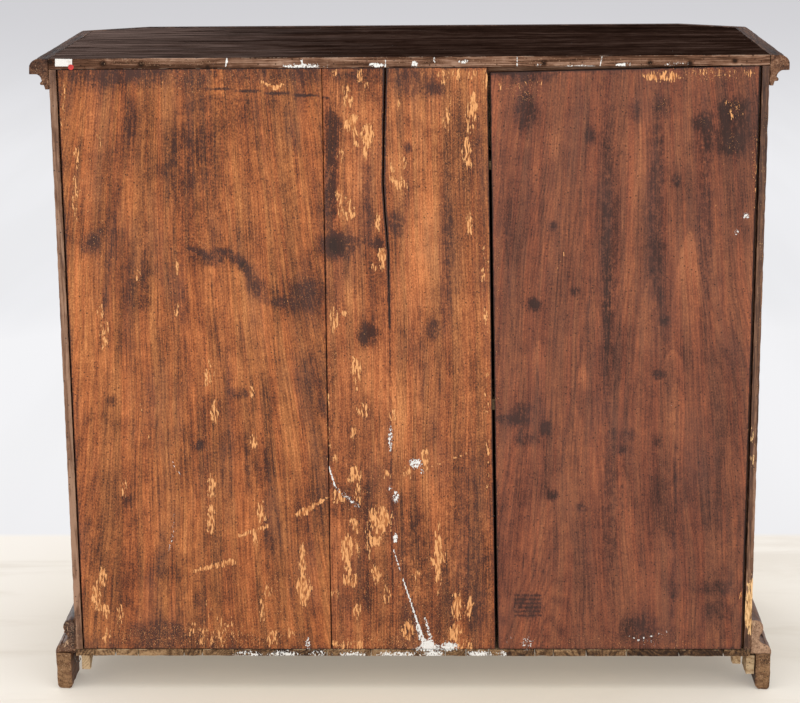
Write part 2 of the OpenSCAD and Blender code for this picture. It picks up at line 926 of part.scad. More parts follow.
// Both rails with their tenons
module door_rail_bodies(fit) {
    tenon = door_stile_w * 0.6;
    for (z = [door_z0, door_z1 - door_rail_w]) {
        box([panel_x0, front_y, z], [panel_x1, front_y + frame_t, z + door_rail_w]);
        box([panel_x0 - tenon - fit, tenon_y - fit, z + panel_groove + shoulder - fit],
            [panel_x1 + tenon + fit, tenon_y + tenon_t + fit, z + door_rail_w - panel_groove - shoulder + fit]);
    }
}

module door_rails(right) {
    color("#5f3320")
        on_side(right)
            difference() {
                door_rail_bodies(0);
                door_panel_plate(panel_play, wood_fit);
            }
}

// The panel's tongue, which sits in the frame's groove
module door_panel_plate(play, fit) {
    reach = panel_groove - panel_play + play;
    box([panel_x0 - reach, groove_y - fit, panel_z0 - reach],
        [panel_x1 + reach, groove_y + panel_edge_t + fit, panel_z1 + reach]);
}

// Cross-section of the raised field between a and b, with its face towards -Y
function field_section(a, b) =
    let (field_y = groove_y + panel_edge_t - panel_t, rim = panel_margin, top = rim + panel_bevel)
    [[a + rim, groove_y + 1], [a + rim, groove_y], [a + top, field_y],
     [b - top, field_y], [b - rim, groove_y], [b - rim, groove_y + 1]];

module door_panel(right) {
    color("#6b3a22")
        on_side(right)
            union() {
                door_panel_plate(0, 0);
                intersection() {
                    translate([0, 0, panel_z0])
                        linear_extrude(panel_z1 - panel_z0)
                            polygon(field_section(panel_x0, panel_x1));
                    translate([panel_x0, 0, 0])
                        rotate([90, 0, 90])
                            linear_extrude(panel_x1 - panel_x0)
                                polygon([for (p = field_section(panel_z0, panel_z1)) [p.y, p.x]]);
                }
            }
}

// The applied moulding, four mitred strips round the panel
module door_moulding(right) {
    w = panel_x1 - panel_x0;
    h = panel_z1 - panel_z0;
    color("#4a2b1c")
        on_side(right)
            translate([(panel_x0 + panel_x1) / 2, front_y, (panel_z0 + panel_z1) / 2])
                for (turn = [0 : 3])
                    rotate([0, 90 * turn, 0])
                        moulding_strip(turn % 2 == 0 ? w : h, turn % 2 == 0 ? h : w);
}

// The strip below an opening of width w and height h that is centred on the origin
module moulding_strip(w, h) {
    lap = bolection_lap + 1;
    inside = bolection_w + 1;
    intersection() {
        translate([-w / 2 - lap, 0, -h / 2])
            rotate([90, 0, 90])
                linear_extrude(w + 2 * lap)
                    polygon([for (p = bolection_profile()) [-p.y, p.x]]);
        upright([
            [-w / 2 - lap + mitre_gap, -h / 2 - lap], [w / 2 + lap - mitre_gap, -h / 2 - lap],
            [w / 2 - inside - mitre_gap, -h / 2 + inside], [-w / 2 + inside + mitre_gap, -h / 2 + inside]
        ], -bolection_out - 1, bolection_out + frame_t);
    }
}

// Hinges, drawn on the right. A level is where the two knuckles of a hinge meet.

module knuckle_clearance(z) {
    reach = knuckle_l + tip_h + 1;
    translate([hinge_x, front_y, z - reach])
        cylinder(r = knuckle_r + knuckle_fit, h = 2 * reach);
}

// A leaf beside the knuckle that stands on z, into the post for turn 1 or the door for -1
module hinge_leaf(z, turn, fit) {
    clear = 3;
    low = min(0, turn * (leaf_l + fit));
    high = max(0, turn * (leaf_l + fit));
    box([hinge_x + low, leaf_y - fit, z + clear - fit],
        [hinge_x + high, leaf_y + leaf_t + fit, z + knuckle_l - clear + fit]);
}

// The turned tip of a hinge, from radius knuckle_r at z = 0 up to its point
module hinge_tip() {
    rotate_extrude()
        polygon(concat(
            [[0, 0], [knuckle_r, 0], [knuckle_r * 0.6, 1.5]],
            arc([0, tip_h - knuckle_r * 0.7], knuckle_r * 0.7, 20, 90, 5)
        ));
}

// The fixed knuckles, their leaves and the pins they carry
module hinge_pins() {
    color("#3b352f")
        for (right = [false, true])
            on_side(right)
                for (z = hinge_levels)
                    union() {
                        translate([hinge_x, front_y, z - knuckle_l])
                            cylinder(r = knuckle_r, h = knuckle_l);
                        translate([hinge_x, front_y, z - knuckle_l])
                            mirror([0, 0, 1])
                                hinge_tip();
                        translate([hinge_x, front_y, z - 1])
                            cylinder(r = hinge_pin_r, h = knuckle_l - 2);
                        hinge_leaf(z - knuckle_l, 1, 0);
                    }
}

// The turning knuckles, which hang on the pins
module hinge_barrels(right) {
    color("#3b352f")
        on_side(right)
            for (z = hinge_levels)
                difference() {
                    union() {
                        translate([hinge_x, front_y, z + iron_fit])
                            cylinder(r = knuckle_r, h = knuckle_l - iron_fit);
                        translate([hinge_x, front_y, z + knuckle_l])
                            hinge_tip();
                        hinge_leaf(z, -1, 0);
                    }
                    translate([hinge_x, front_y, z - 1])
                        cylinder(r = hinge_pin_r + pin_fit, h = knuckle_l);
                }
}

// Locks, drawn on the right

// The keyhole through whatever lies between y and y + t
module keyhole(y, t) {
    slot = bit_t + 2;
    translate([key_x, y + t, key_z])
        rotate([90, 0, 0]) {
            cylinder(r = shank_r + shank_fit, h = t);
            translate([-slot / 2, -bit_r - 1, 0])
                cube([slot, bit_r + 1, t]);
        }
}

// A case open towards the door, with a cheek that keeps the bolt flat and the stump it slides on
module lock_case(right) {
    z0 = key_z - lock_h / 2;
    x1 = lock_x0 + lock_w;
    plate_y = frame_y + lock_d - plate_t;
    cheek_y = bolt_y + bolt_t + iron_fit;
    color("#463f38")
        on_side(right)
            difference() {
                union() {
                    difference() {
                        box([lock_x0, frame_y, z0], [x1, frame_y + lock_d, z0 + lock_h]);
                        box([lock_x0 + plate_t, frame_y - 1, z0 + plate_t],
                            [x1 - plate_t, plate_y, z0 + lock_h - plate_t]);
                    }
                    box([lock_x0 + 1, cheek_y, bolt_z0], [key_x - bit_r - 2, plate_y + 1, bolt_z0 + bolt_h]);
                    translate([stump_x, plate_y + 1, stump_z])
                        rotate([90, 0, 0])
                            cylinder(r = stump_r, h = plate_y + 1 - bolt_y - 0.5);
                }
                box([lock_x0 - 1, bolt_y - iron_fit, bolt_z0 - iron_fit],
                    [lock_x0 + plate_t + 1, cheek_y, bolt_z0 + bolt_h + iron_fit]);
                translate([key_x, frame_y + lock_d + 1, key_z])
                    rotate([90, 0, 0])
                        cylinder(r = shank_r + pin_fit, h = plate_t + 2);
            }
}

// The bolt at rest, drawn back. The key's bit turns in its notch and the stump guides its slot.
module bolt(right) {
    notch_x = key_x + bit_r * sin(45);
    slot_r = stump_r + iron_fit;
    tail_x = lock_x0 + lock_w - plate_t - 1;
    color("#4d4740")
        on_side(right)
            difference() {
                box([door_x0 + 1, bolt_y, bolt_z0], [tail_x, bolt_y + bolt_t, bolt_z0 + bolt_h]);
                box([notch_x - talon_w / 2, bolt_y - 1, bolt_z0 - 1],
                    [notch_x + talon_w / 2, bolt_y + bolt_t + 1, bolt_z0 + talon_h]);
                box([stump_x - slot_r, bolt_y - 1, stump_z - slot_r],
                    [stump_x + bolt_throw + slot_r, bolt_y + bolt_t + 1, stump_z + slot_r]);
            }
}

module escutcheon(right) {
    color("#4d4740")
        on_side(right)
            difference() {
                translate([key_x, front_y, key_z])
                    rotate([90, 0, 0])
                        linear_extrude(escutcheon_t)
                            union() {
                                circle(r = escutcheon_r);
                                for (up = [1, -1])
                                    translate([0, up * escutcheon_r])
                                        circle(r = escutcheon_r * 0.45);
                            }
                keyhole(front_y - escutcheon_t - 1, escutcheon_t + 2);
            }
}

// The key at rest, with its bit and ring at 45 degrees, to the door's outer side of upright
module key(right) {
    tip_y = frame_y + lock_d - 0.5;
    collar_y = front_y - escutcheon_t - collar_t - iron_fit;
    color("#4d4740")
        on_side(right)
            translate([key_x, 0, key_z])
                rotate([0, 45, 0])
                    union() {
                        translate([0, tip_y, 0])
                            rotate([90, 0, 0])
                                cylinder(r = shank_r, h = tip_y - front_y + bow_centre - bow_r + 2);
                        translate([0, collar_y + collar_t, 0])
                            rotate([90, 0, 0])
                                cylinder(r = shank_r + 2, h = collar_t);
                        box([-bit_t / 2, bit_y, 0], [bit_t / 2, bit_y + bit_w, bit_r]);
                        translate([shank_r * 0.7, front_y - bow_centre, 0])
                            rotate([0, -90, 0])
                                linear_extrude(shank_r * 1.4)
                                    difference() {
                                        circle(r = bow_r);
                                        circle(r = bow_hole_r);
                                    }
                    }
}

top_board();
cornice([2]);  // cornice_front
cornice([1, 3]);  // cornice_cants
cornice([4]);  // cornice_left
cornice([0]);  // cornice_right
side_panel(false);  // side_left
side_panel(true);  // side_right
corner_post(false);  // corner_post_left
corner_post(true);  // corner_post_right
back_board_left();
back_board_middle();
back_board_right();
back_rail();
floor_boards();
frame_rail(rails()[0][0], rails()[0][1]);  // top_rail
frame_rail(rails()[1][0], rails()[1][1]);  // drawer_rail
frame_rail(rails()[2][0], rails()[2][1]);  // bottom_rail
frame_stile(door_foot_z, door_top_z);  // centre_stile
frame_stile(frieze_z, frieze_top_z);  // frieze_stile
dust_board();
drawer_runners();
shelf();
shelf_battens();
plinth([2]);  // plinth_front
plinth([1, 3]);  // plinth_cants
plinth([4]);  // plinth_left
plinth([0]);  // plinth_right
rear_feet();
front_feet();
glue_blocks();
hinge_pins();
drawer_front(false);  // drawer_front_left
drawer_sides(false);  // drawer_sides_left
drawer_back(false);  // drawer_back_left
drawer_bottom(false);  // drawer_bottom_left
drawer_knob(false);  // drawer_knob_left
drawer_front(true);  // drawer_front_right
drawer_sides(true);  // drawer_sides_right
drawer_back(true);  // drawer_back_right
drawer_bottom(true);  // drawer_bottom_right
drawer_knob(true);  // drawer_knob_right
door_stiles(false);  // door_stiles_left
door_rails(false);  // door_rails_left
door_panel(false);  // door_panel_left
door_moulding(false);  // door_moulding_left
hinge_barrels(false);  // hinge_barrels_left
lock_case(false);  // lock_case_left
escutcheon(false);  // escutcheon_left
bolt(false);  // bolt_left
key(false);  // key_left
door_stiles(true);  // door_stiles_right
door_rails(true);  // door_rails_right
door_panel(true);  // door_panel_right
door_moulding(true);  // door_moulding_right
hinge_barrels(true);  // hinge_barrels_right
lock_case(true);  // lock_case_right
escutcheon(true);  // escutcheon_right
bolt(true);  // bolt_right
key(true);  // key_right
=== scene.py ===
# Looks for an old credenza seen from behind: stained back boards with worn flecks and spilt paint,
# a dark waxed top, walnut mouldings and front, bare softwood inside, dark iron hinges and locks.
import json
import math
import random

import bmesh
import bpy
import numpy as np
from mathutils import Matrix, Vector, noise


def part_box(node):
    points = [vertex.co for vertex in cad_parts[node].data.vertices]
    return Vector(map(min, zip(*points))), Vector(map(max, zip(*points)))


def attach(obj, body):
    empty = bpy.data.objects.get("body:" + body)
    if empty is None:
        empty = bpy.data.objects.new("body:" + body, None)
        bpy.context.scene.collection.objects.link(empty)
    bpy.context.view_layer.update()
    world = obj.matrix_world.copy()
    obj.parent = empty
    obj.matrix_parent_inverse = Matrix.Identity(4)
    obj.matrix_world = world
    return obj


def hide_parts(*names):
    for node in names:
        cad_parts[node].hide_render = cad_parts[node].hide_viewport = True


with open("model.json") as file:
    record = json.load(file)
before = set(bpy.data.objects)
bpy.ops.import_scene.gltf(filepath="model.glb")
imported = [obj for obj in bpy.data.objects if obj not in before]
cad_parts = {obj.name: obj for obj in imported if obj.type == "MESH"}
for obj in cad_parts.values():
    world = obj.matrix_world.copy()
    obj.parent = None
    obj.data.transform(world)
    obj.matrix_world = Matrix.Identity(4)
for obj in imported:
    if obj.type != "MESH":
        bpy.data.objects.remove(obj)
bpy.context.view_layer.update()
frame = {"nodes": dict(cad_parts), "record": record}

MM = 0.001
X, Y, Z = range(3)
BODY_OF = {node: body for body, nodes in frame["record"]["behaviour"]["bodies"].items() for node in nodes}
SLOT_OF = {part["node"]: part["material_slot"] for part in frame["record"]["subparts"]}

# The photograph's camera, in picture points and in metres
PICTURE_W = 800
PICTURE_H = 703
FOCAL = 2170
SENSOR_W = 36
EYE = Vector((-0.0696, 3.6653, 1.4365))
PITCH = math.radians(14.05)
YAW = math.radians(1.44)
ROLL = math.radians(-0.49)

# Planes of the carcass, read from the frame
BACK_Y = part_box("back_board_right")[1].y
BOARDS_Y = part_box("back_board_right")[0].y
CEILING_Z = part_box("top_board")[0].z
FLOOR_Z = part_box("back_board_right")[0].z
FOOT_THICK = 26 * MM


def camera_axes():
    """The camera's right, up and forward directions."""
    forward = Vector((math.sin(YAW) * math.cos(PITCH), -math.cos(YAW) * math.cos(PITCH), -math.sin(PITCH)))
    level_right = Vector((-math.cos(YAW), -math.sin(YAW), 0))
    level_up = level_right.cross(forward)
    right = math.cos(ROLL) * level_right + math.sin(ROLL) * level_up
    up = -math.sin(ROLL) * level_right + math.cos(ROLL) * level_up
    return right, up, forward


RIGHT, UP, FORWARD = camera_axes()


def picture_points(points):
    """Where points, as rows of x, y and z, are seen in the photograph."""
    away = np.asarray(points, dtype=float) - np.array(EYE)
    depth = away @ np.array(FORWARD)
    u = PICTURE_W / 2 + FOCAL * (away @ np.array(RIGHT)) / depth
    v = PICTURE_H / 2 - FOCAL * (away @ np.array(UP)) / depth
    return u, v


def rear_point(u, v):
    """The point of the back plane that the photograph shows at (u, v), as x and z."""
    ray = FORWARD + (u - PICTURE_W / 2) / FOCAL * RIGHT - (v - PICTURE_H / 2) / FOCAL * UP
    t = (BACK_Y - EYE.y) / ray.y
    return EYE.x + t * ray.x, EYE.z + t * ray.z


# Node trees

# Places of the Mix node's sockets for colours: factor and the two colours, and the result
MIX_INPUTS = (0, 6, 7)
MIX_RESULT = 2


class Shader:
    """Short calls that add nodes to one material."""

    def __init__(self, name):
        self.material = bpy.data.materials.new(name)
        self.material.use_nodes = True
        self.tree = self.material.node_tree
        self.tree.nodes.clear()
        self.coords = self.add("ShaderNodeTexCoord").outputs["Object"]

    def add(self, kind, **settings):
        node = self.tree.nodes.new(kind)
        for key, value in settings.items():
            setattr(node, key, value)
        return node

    def feed(self, socket, value):
        if isinstance(value, bpy.types.NodeSocket):
            self.tree.links.new(value, socket)
        elif isinstance(value, tuple) and len(value) == 3 and len(socket.default_value) == 4:
            socket.default_value = (*value, 1)
        else:
            socket.default_value = value

    def moved(self, vector, scale=(1, 1, 1), turn=(0, 0, 0), shift=(0, 0, 0)):
        node = self.add("ShaderNodeMapping")
        self.feed(node.inputs["Vector"], vector)
        node.inputs["Scale"].default_value = scale
        node.inputs["Rotation"].default_value = [math.radians(a) for a in turn]
        node.inputs["Location"].default_value = shift
        return node.outputs["Vector"]

    def noise(self, vector, scale=1.0, detail=3.0, roughness=0.55, distortion=0.0):
        node = self.add("ShaderNodeTexNoise")
        self.feed(node.inputs["Vector"], vector)
        node.inputs["Scale"].default_value = scale
        node.inputs["Detail"].default_value = detail
        node.inputs["Roughness"].default_value = roughness
        node.inputs["Distortion"].default_value = distortion
        return node.outputs["Fac"]

    def growth_lines(self, vector, scale, count, sharpness=2.2):
        """Thin dark lines nested like growth rings: level lines of a long, slow noise."""
        slow = self.noise(self.moved(vector, scale=scale), detail=1.4, roughness=0.4)
        wave = self.math("SINE", self.math("MULTIPLY", slow, 2 * math.pi * count))
        return self.math("POWER", self.math("MULTIPLY_ADD", wave, 0.5, 0.5), sharpness)

    def cells(self, scale):
        node = self.add("ShaderNodeTexVoronoi")
        self.feed(node.inputs["Vector"], self.coords)
        node.inputs["Scale"].default_value = scale
        return node.outputs["Distance"], node.outputs["Color"]

    def math(self, kind, a, b=0.0, c=0.0):
        node = self.add("ShaderNodeMath", operation=kind)
        for socket, value in zip(node.inputs, (a, b, c)):
            self.feed(socket, value)
        return node.outputs[0]

    def step(self, value, low, high, to_low=0.0, to_high=1.0):
        node = self.add("ShaderNodeMapRange", interpolation_type="SMOOTHSTEP")
        for socket, part in zip(node.inputs, (value, low, high, to_low, to_high)):
            self.feed(socket, part)
        return node.outputs[0]

    def mix(self, factor, a, b, blend="MIX"):
        node = self.add("ShaderNodeMix", data_type="RGBA", blend_type=blend, clamp_factor=True)
        for place, value in zip(MIX_INPUTS, (factor, a, b)):
            self.feed(node.inputs[place], value)
        return node.outputs[MIX_RESULT]

    def ramp(self, factor, stops):
        node = self.add("ShaderNodeValToRGB")
        stops = list(stops)
        elements = node.color_ramp.elements
        while len(elements) < len(stops):
            elements.new(1.0)
        for element, (place, colour) in zip(elements, stops):
            element.position = place
            element.color = (*colour, 1)
        self.feed(node.inputs[0], factor)
        return node.outputs[0]

    def attribute(self, name):
        return self.add("ShaderNodeAttribute", attribute_name=name).outputs["Fac"]

    def bump(self, height, distance):
        node = self.add("ShaderNodeBump")
        self.feed(node.inputs["Height"], height)
        node.inputs["Distance"].default_value = distance
        return node.outputs["Normal"]

    def surface(self, colour, roughness, normal=None, **constants):
        shader = self.add("ShaderNodeBsdfPrincipled")
        self.feed(shader.inputs["Base Color"], colour)
        self.feed(shader.inputs["Roughness"], roughness)
        if normal is not None:
            self.feed(shader.inputs["Normal"], normal)
        for key, value in constants.items():
            shader.inputs[key.replace("_", " ")].default_value = value
        output = self.add("ShaderNodeOutputMaterial")
        self.tree.links.new(shader.outputs[0], output.inputs["Surface"])
        return self.material


# How each direction of grain is turned upright. XY runs level round a corner, on faces of either side.
GRAIN_TURN = {"X": (0, -90, 0), "Y": (90, 0, 0), "Z": (0, 0, 0), "XY": (0, -90, 0)}
LEVEL_SQUASH = (1, 0.16, 1)
# How far the grain sways sideways, and how far each seed shifts it
GRAIN_SWAY = (0.014, 0.014, 0)
SEED_SHIFT = (0.37, 0.61, 0.83)
# Heights of the fibres and pores of each kind of surface
WOOD_RELIEF = 0.3 * MM
BOARD_RELIEF = 0.5 * MM
IRON_RELIEF = 0.3 * MM
PAPER_RELIEF = 0.05 * MM
# A piece takes its rear tones between these depths below the back plane
REAR_FADE = (2.2 * MM, 1.4 * MM)
BARE_PINE = ((0.44, 0.160, 0.055), (0.83, 0.405, 0.165))
BARE_WALNUT = ((0.27, 0.150, 0.085), (0.50, 0.330, 0.210))
BARE_LIP = ((0.52, 0.280, 0.110), (0.86, 0.540, 0.260))
PAINT_TONE = (0.86, 0.86, 0.84)
# The darkest tone, for pits, pores and dirt, and for painted shade in the back boards' joints and crack
DIRT_AND_SHADE_TONE = (0.022, 0.014, 0.011)
COOL_TONE = (0.098, 0.050, 0.042)
WARM_CAST = (1.045, 0.945, 0.92)
COOL_CAST = (0.97, 1.035, 1.03)


def scuffed(s, colour, rough, height, fibre, grime, bare_tones):
    """Adds pits, dirt, painted shade, bare flecks and spilt paint where a mesh's marks ask for them."""
    # Pits and worm holes, then dirt, and painted shade where the dark marks run strongest: along the back
    # boards' rims, joints and crack
    distance, chance = s.cells(120)
    pits = s.step(distance, 0.08, 0.20, 1.0, 0.0)
    pits = s.math("MULTIPLY", pits, s.step(chance, 0.50, 0.56, 0.0, 0.8))
    colour = s.mix(pits, colour, DIRT_AND_SHADE_TONE)
    dirt_and_rim_shade = s.step(s.math("ADD", s.attribute("dark"), s.math("MULTIPLY_ADD", fibre, 0.3, -0.15)), 0.62, 0.95)
    colour = s.mix(s.math("MULTIPLY", dirt_and_rim_shade, 0.9), colour, DIRT_AND_SHADE_TONE)
    # Specks and bare flecks
    fine = s.noise(s.moved(s.coords, scale=(640, 640, 380)), detail=3, roughness=0.6)
    specks = s.math("MULTIPLY_ADD", s.attribute("flecked"), 0.33, fine)
    specks = s.step(specks, 0.735, 0.80, 0.0, 0.85)
    coarse = s.noise(s.moved(s.coords, scale=(230, 230, 60)), detail=5, roughness=0.7)
    hairs = s.noise(s.moved(s.coords, scale=(380, 380, 92)), detail=3)
    coarse = s.math("MULTIPLY_ADD", coarse, 2.0, -1.0)
    ragged = s.math("ADD", coarse, s.math("MULTIPLY_ADD", hairs, 1.7, -0.85))
    worn = s.attribute("worn")
    ragged = s.math("MULTIPLY", ragged, s.step(worn, 0.0, 0.25))
    bare = s.step(s.math("ADD", worn, ragged), 0.54, 0.59)
    stained_wood, clean_wood = bare_tones
    tan = s.mix(s.step(hairs, 0.42, 0.58), stained_wood, clean_wood)
    tan = s.mix(s.step(grime, 0.54, 0.70, 0.0, 0.8), tan, stained_wood)
    bare = s.math("MAXIMUM", bare, specks)
    colour = s.mix(bare, colour, tan)
    # Paint
    drops = s.noise(s.moved(s.coords, scale=(330, 330, 250)), detail=4, roughness=0.66)
    paint = s.math("ADD", s.math("MULTIPLY_ADD", drops, 2.2, -1.1), s.attribute("paint"))
    paint = s.step(paint, 0.50, 0.62)
    colour = s.mix(paint, colour, PAINT_TONE)
    rough = s.math("MAXIMUM", rough, s.math("MULTIPLY", s.math("MAXIMUM", bare, paint), 0.85))
    height = s.math("MULTIPLY_ADD", pits, -0.5, height)
    height = s.math("MULTIPLY_ADD", bare, -0.5, height)
    height = s.math("MULTIPLY_ADD", paint, 0.8, height)
    return colour, rough, height


def layered(s, layers, contrast):
    """A tone round 0.5 from noises that each have a weight."""
    tone = 0.5
    for value, amount in layers:
        amount *= contrast
        tone = s.math("ADD", tone, s.math("MULTIPLY_ADD", value, amount, -0.5 * amount))
    return tone


TONE_PLACES = (0.08, 0.34, 0.52, 0.80, 1.0)


def wood(name, tones, grain, seed, sheen, gloss, lines=30, line_depth=0.16, contrast=1.0, wear=None,
         features=False, rear_tones=None, painted_reflection=None, bare=BARE_WALNUT):
    """Wood with growth lines, fibres, pores and handled arrises. sheen is its least and most roughness."""
    s = Shader(name)
    squash = LEVEL_SQUASH if grain == "XY" else (1, 1, 1)
    along = s.moved(s.coords, squash, GRAIN_TURN[grain], [seed * shift for shift in SEED_SHIFT])
    wander = s.add("ShaderNodeVectorMath", operation="MULTIPLY_ADD")
    swirl = s.add("ShaderNodeTexNoise")
    swirl.inputs["Detail"].default_value = 0
    s.feed(swirl.inputs["Vector"], s.moved(along, scale=(6, 6, 1.0)))
    s.feed(wander.inputs[0], swirl.outputs["Color"])
    wander.inputs[1].default_value = GRAIN_SWAY
    s.feed(wander.inputs[2], along)
    along = wander.outputs[0]
    figure = s.growth_lines(along, (10, 10, 0.9), lines)
    # Clouds, bands, streaks, fibres and grime
    layers = [
        (s.noise(s.moved(along, scale=(13, 13, 2.0)), detail=3, roughness=0.55), 0.70),
        (s.noise(s.moved(along, scale=(75, 75, 2.2)), detail=3), 0.60),
        (s.noise(s.moved(along, scale=(230, 230, 5)), detail=3, roughness=0.6), 0.75),
        (s.noise(s.moved(along, scale=(560, 560, 14)), detail=3, roughness=0.6), 0.95),
        (s.noise(s.coords, scale=38, detail=5, roughness=0.7), 0.40),
    ]
    streak, fibre, grime = layers[2][0], layers[3][0], layers[4][0]
    tone = layered(s, layers, contrast)
    tone = s.math("MULTIPLY_ADD", figure, -line_depth, s.math("ADD", tone, 0.5 * line_depth))
    if features:
        # Dark marks darken the tone: stains, and painted shade mixed with dirt along the floor boards' rear
        # ends
        tone = s.math("SUBTRACT", tone, s.math("MULTIPLY", s.attribute("dark"), 0.45))
        tone = s.math("MULTIPLY_ADD", s.attribute("light"), 0.34, tone)
        tone = s.math("MULTIPLY_ADD", s.attribute("tint"), 0.16, tone)
    colour = s.ramp(tone, zip(TONE_PLACES, tones))
    pores = s.step(s.noise(s.moved(along, scale=(1100, 1100, 60)), detail=2), 0.62, 0.72)
    colour = s.mix(s.math("MULTIPLY", pores, 0.6), colour, DIRT_AND_SHADE_TONE)
    if rear_tones is not None:
        weathered = s.ramp(tone, zip(TONE_PLACES, rear_tones))
        place = s.add("ShaderNodeSeparateXYZ")
        s.feed(place.inputs[0], s.coords)
        # Painted reflection: lighter streaks towards the +x end, for the glare of the white surround on the
        # matt top
        if painted_reflection is not None:
            patches = s.noise(s.moved(s.coords, scale=(7, 30, 30)), detail=5, roughness=0.62)
            reflection_streaks = s.step(s.math("ADD", place.outputs[0], s.math("MULTIPLY", patches, 0.9)), 0.48, 1.10)
            reflection_streaks = s.math("MULTIPLY", reflection_streaks, s.step(streak, 0.40, 0.60, 0.08, 1.0))
            colour = s.mix(reflection_streaks, colour, painted_reflection)
        facing_back = s.step(place.outputs[1], *(BACK_Y - depth for depth in REAR_FADE))
        colour = s.mix(facing_back, colour, weathered)
    rough = s.step(streak, 0.3, 0.7, sheen[0], sheen[1])
    height = s.math("MULTIPLY_ADD", streak, 0.4, s.math("MULTIPLY", fibre, 0.5))
    height = s.math("MULTIPLY_ADD", pores, -0.8, height)
    if wear is not None:
        chafed = s.noise(s.moved(s.coords, scale=(300, 300, 300)), detail=4, roughness=0.65)
        arris = s.attribute("edge")
        arris = s.math("MULTIPLY", arris, s.step(grime, 0.40, 0.62, 0.1, 0.62))
        rubbed = s.step(s.math("ADD", arris, chafed), 0.90, 1.08, 0.0, 0.8)
        colour = s.mix(rubbed, colour, wear)
    if features:
        colour, rough, height = scuffed(s, colour, rough, height, fibre, grime, bare)
    return s.surface(colour, rough, s.bump(height, WOOD_RELIEF), Specular_IOR_Level=gloss)


def stained(name, tones, seed, purple, contrast=1.0):
    """A wide old board, stained and rubbed, whose fibres follow the mesh's own grain lines."""
    s = Shader(name)
    place = s.add("ShaderNodeSeparateXYZ")
    s.feed(place.inputs[0], s.coords)
    flow = s.add("ShaderNodeCombineXYZ")
    for socket, value in zip(flow.inputs, (s.attribute("across"), place.outputs[1], place.outputs[2])):
        s.feed(socket, value)
    flow = s.moved(flow.outputs[0], shift=(seed * SEED_SHIFT[0], 0, seed * SEED_SHIFT[2]))
    # Clouds, bands, streaks, fibres, grime, blotches and grit
    layers = [
        (s.noise(s.moved(flow, scale=(15, 15, 3.0)), detail=3, roughness=0.55), 0.78),
        (s.noise(s.moved(flow, scale=(64, 64, 2.4)), detail=2), 0.30),
        (s.noise(s.moved(flow, scale=(230, 230, 4.5)), detail=2, roughness=0.62), 0.48),
        (s.noise(s.moved(flow, scale=(470, 470, 9)), detail=2, roughness=0.6), 1.05),
        (s.noise(s.coords, scale=46, detail=6, roughness=0.80), 0.80),
        (s.noise(s.moved(s.coords, scale=(12, 12, 8)), detail=4, roughness=0.62), 1.10),
        (s.noise(s.moved(s.coords, scale=(440, 440, 300)), detail=2, roughness=0.6), 1.15),
    ]
    tone = layered(s, layers, contrast)
    streak, fibre, grime = layers[2][0], layers[3][0], layers[4][0]
    figure = s.growth_lines(flow, (11, 11, 1.1), 46, 2.4)
    strength = s.step(layers[0][0], 0.38, 0.62, 0.02, 0.13)
    tone = s.math("SUBTRACT", s.math("ADD", tone, 0.03), s.math("MULTIPLY", figure, strength))
    light_amount = s.math("MULTIPLY", s.attribute("light"), 0.34)
    # The dark marks, stains and the painted shade at the rims, darken the tone in blots and cool its hue
    blot = s.noise(s.moved(s.coords, scale=(150, 150, 95)), detail=5, roughness=0.72)
    blot = s.step(s.math("MULTIPLY_ADD", s.attribute("dark"), 0.18, blot), 0.45, 0.62, 0.16, 0.84)
    dark_amount = s.math("MULTIPLY", s.attribute("dark"), blot)
    tone = s.math("SUBTRACT", s.math("ADD", tone, light_amount), dark_amount)
    colour = s.ramp(tone, zip(TONE_PLACES, tones))
    hue = s.noise(s.moved(flow, scale=(90, 90, 2.4)), detail=4, roughness=0.7)
    hue = s.mix(s.step(hue, 0.38, 0.62), WARM_CAST, COOL_CAST)
    colour = s.mix(1.0, colour, hue, "MULTIPLY")
    cool = s.noise(s.moved(flow, scale=(22, 22, 5)), detail=4, roughness=0.6)
    cool = s.math("ADD", cool, s.math("MULTIPLY", s.attribute("dark"), 0.22))
    colour = s.mix(s.step(cool, 0.48, 0.70, 0.0, purple), colour, COOL_TONE)
    rough = s.step(streak, 0.3, 0.7, 0.50, 0.66)
    height = s.math("MULTIPLY_ADD", streak, 0.6, s.math("MULTIPLY", fibre, 0.6))
    height = s.math("MULTIPLY_ADD", figure, -0.3, height)
    colour, rough, height = scuffed(s, colour, rough, height, fibre, grime, BARE_PINE)
    return s.surface(colour, rough, s.bump(height, BOARD_RELIEF), Specular_IOR_Level=0.22)


def iron(name, tone, rust):
    """Forged iron, dark with age, with rust in patches."""
    s = Shader(name)
    scale = s.noise(s.coords, scale=240, detail=4, roughness=0.65)
    patch = s.step(s.noise(s.coords, scale=60, detail=3), 0.5, 0.66)
    colour = s.mix(s.step(scale, 0.3, 0.7), tone, tuple(0.5 * c for c in tone))
    colour = s.mix(s.math("MULTIPLY", patch, 0.5), colour, rust)
    rough = s.step(scale, 0.3, 0.7, 0.42, 0.7)
    return s.surface(colour, rough, s.bump(scale, IRON_RELIEF), Metallic=0.7)


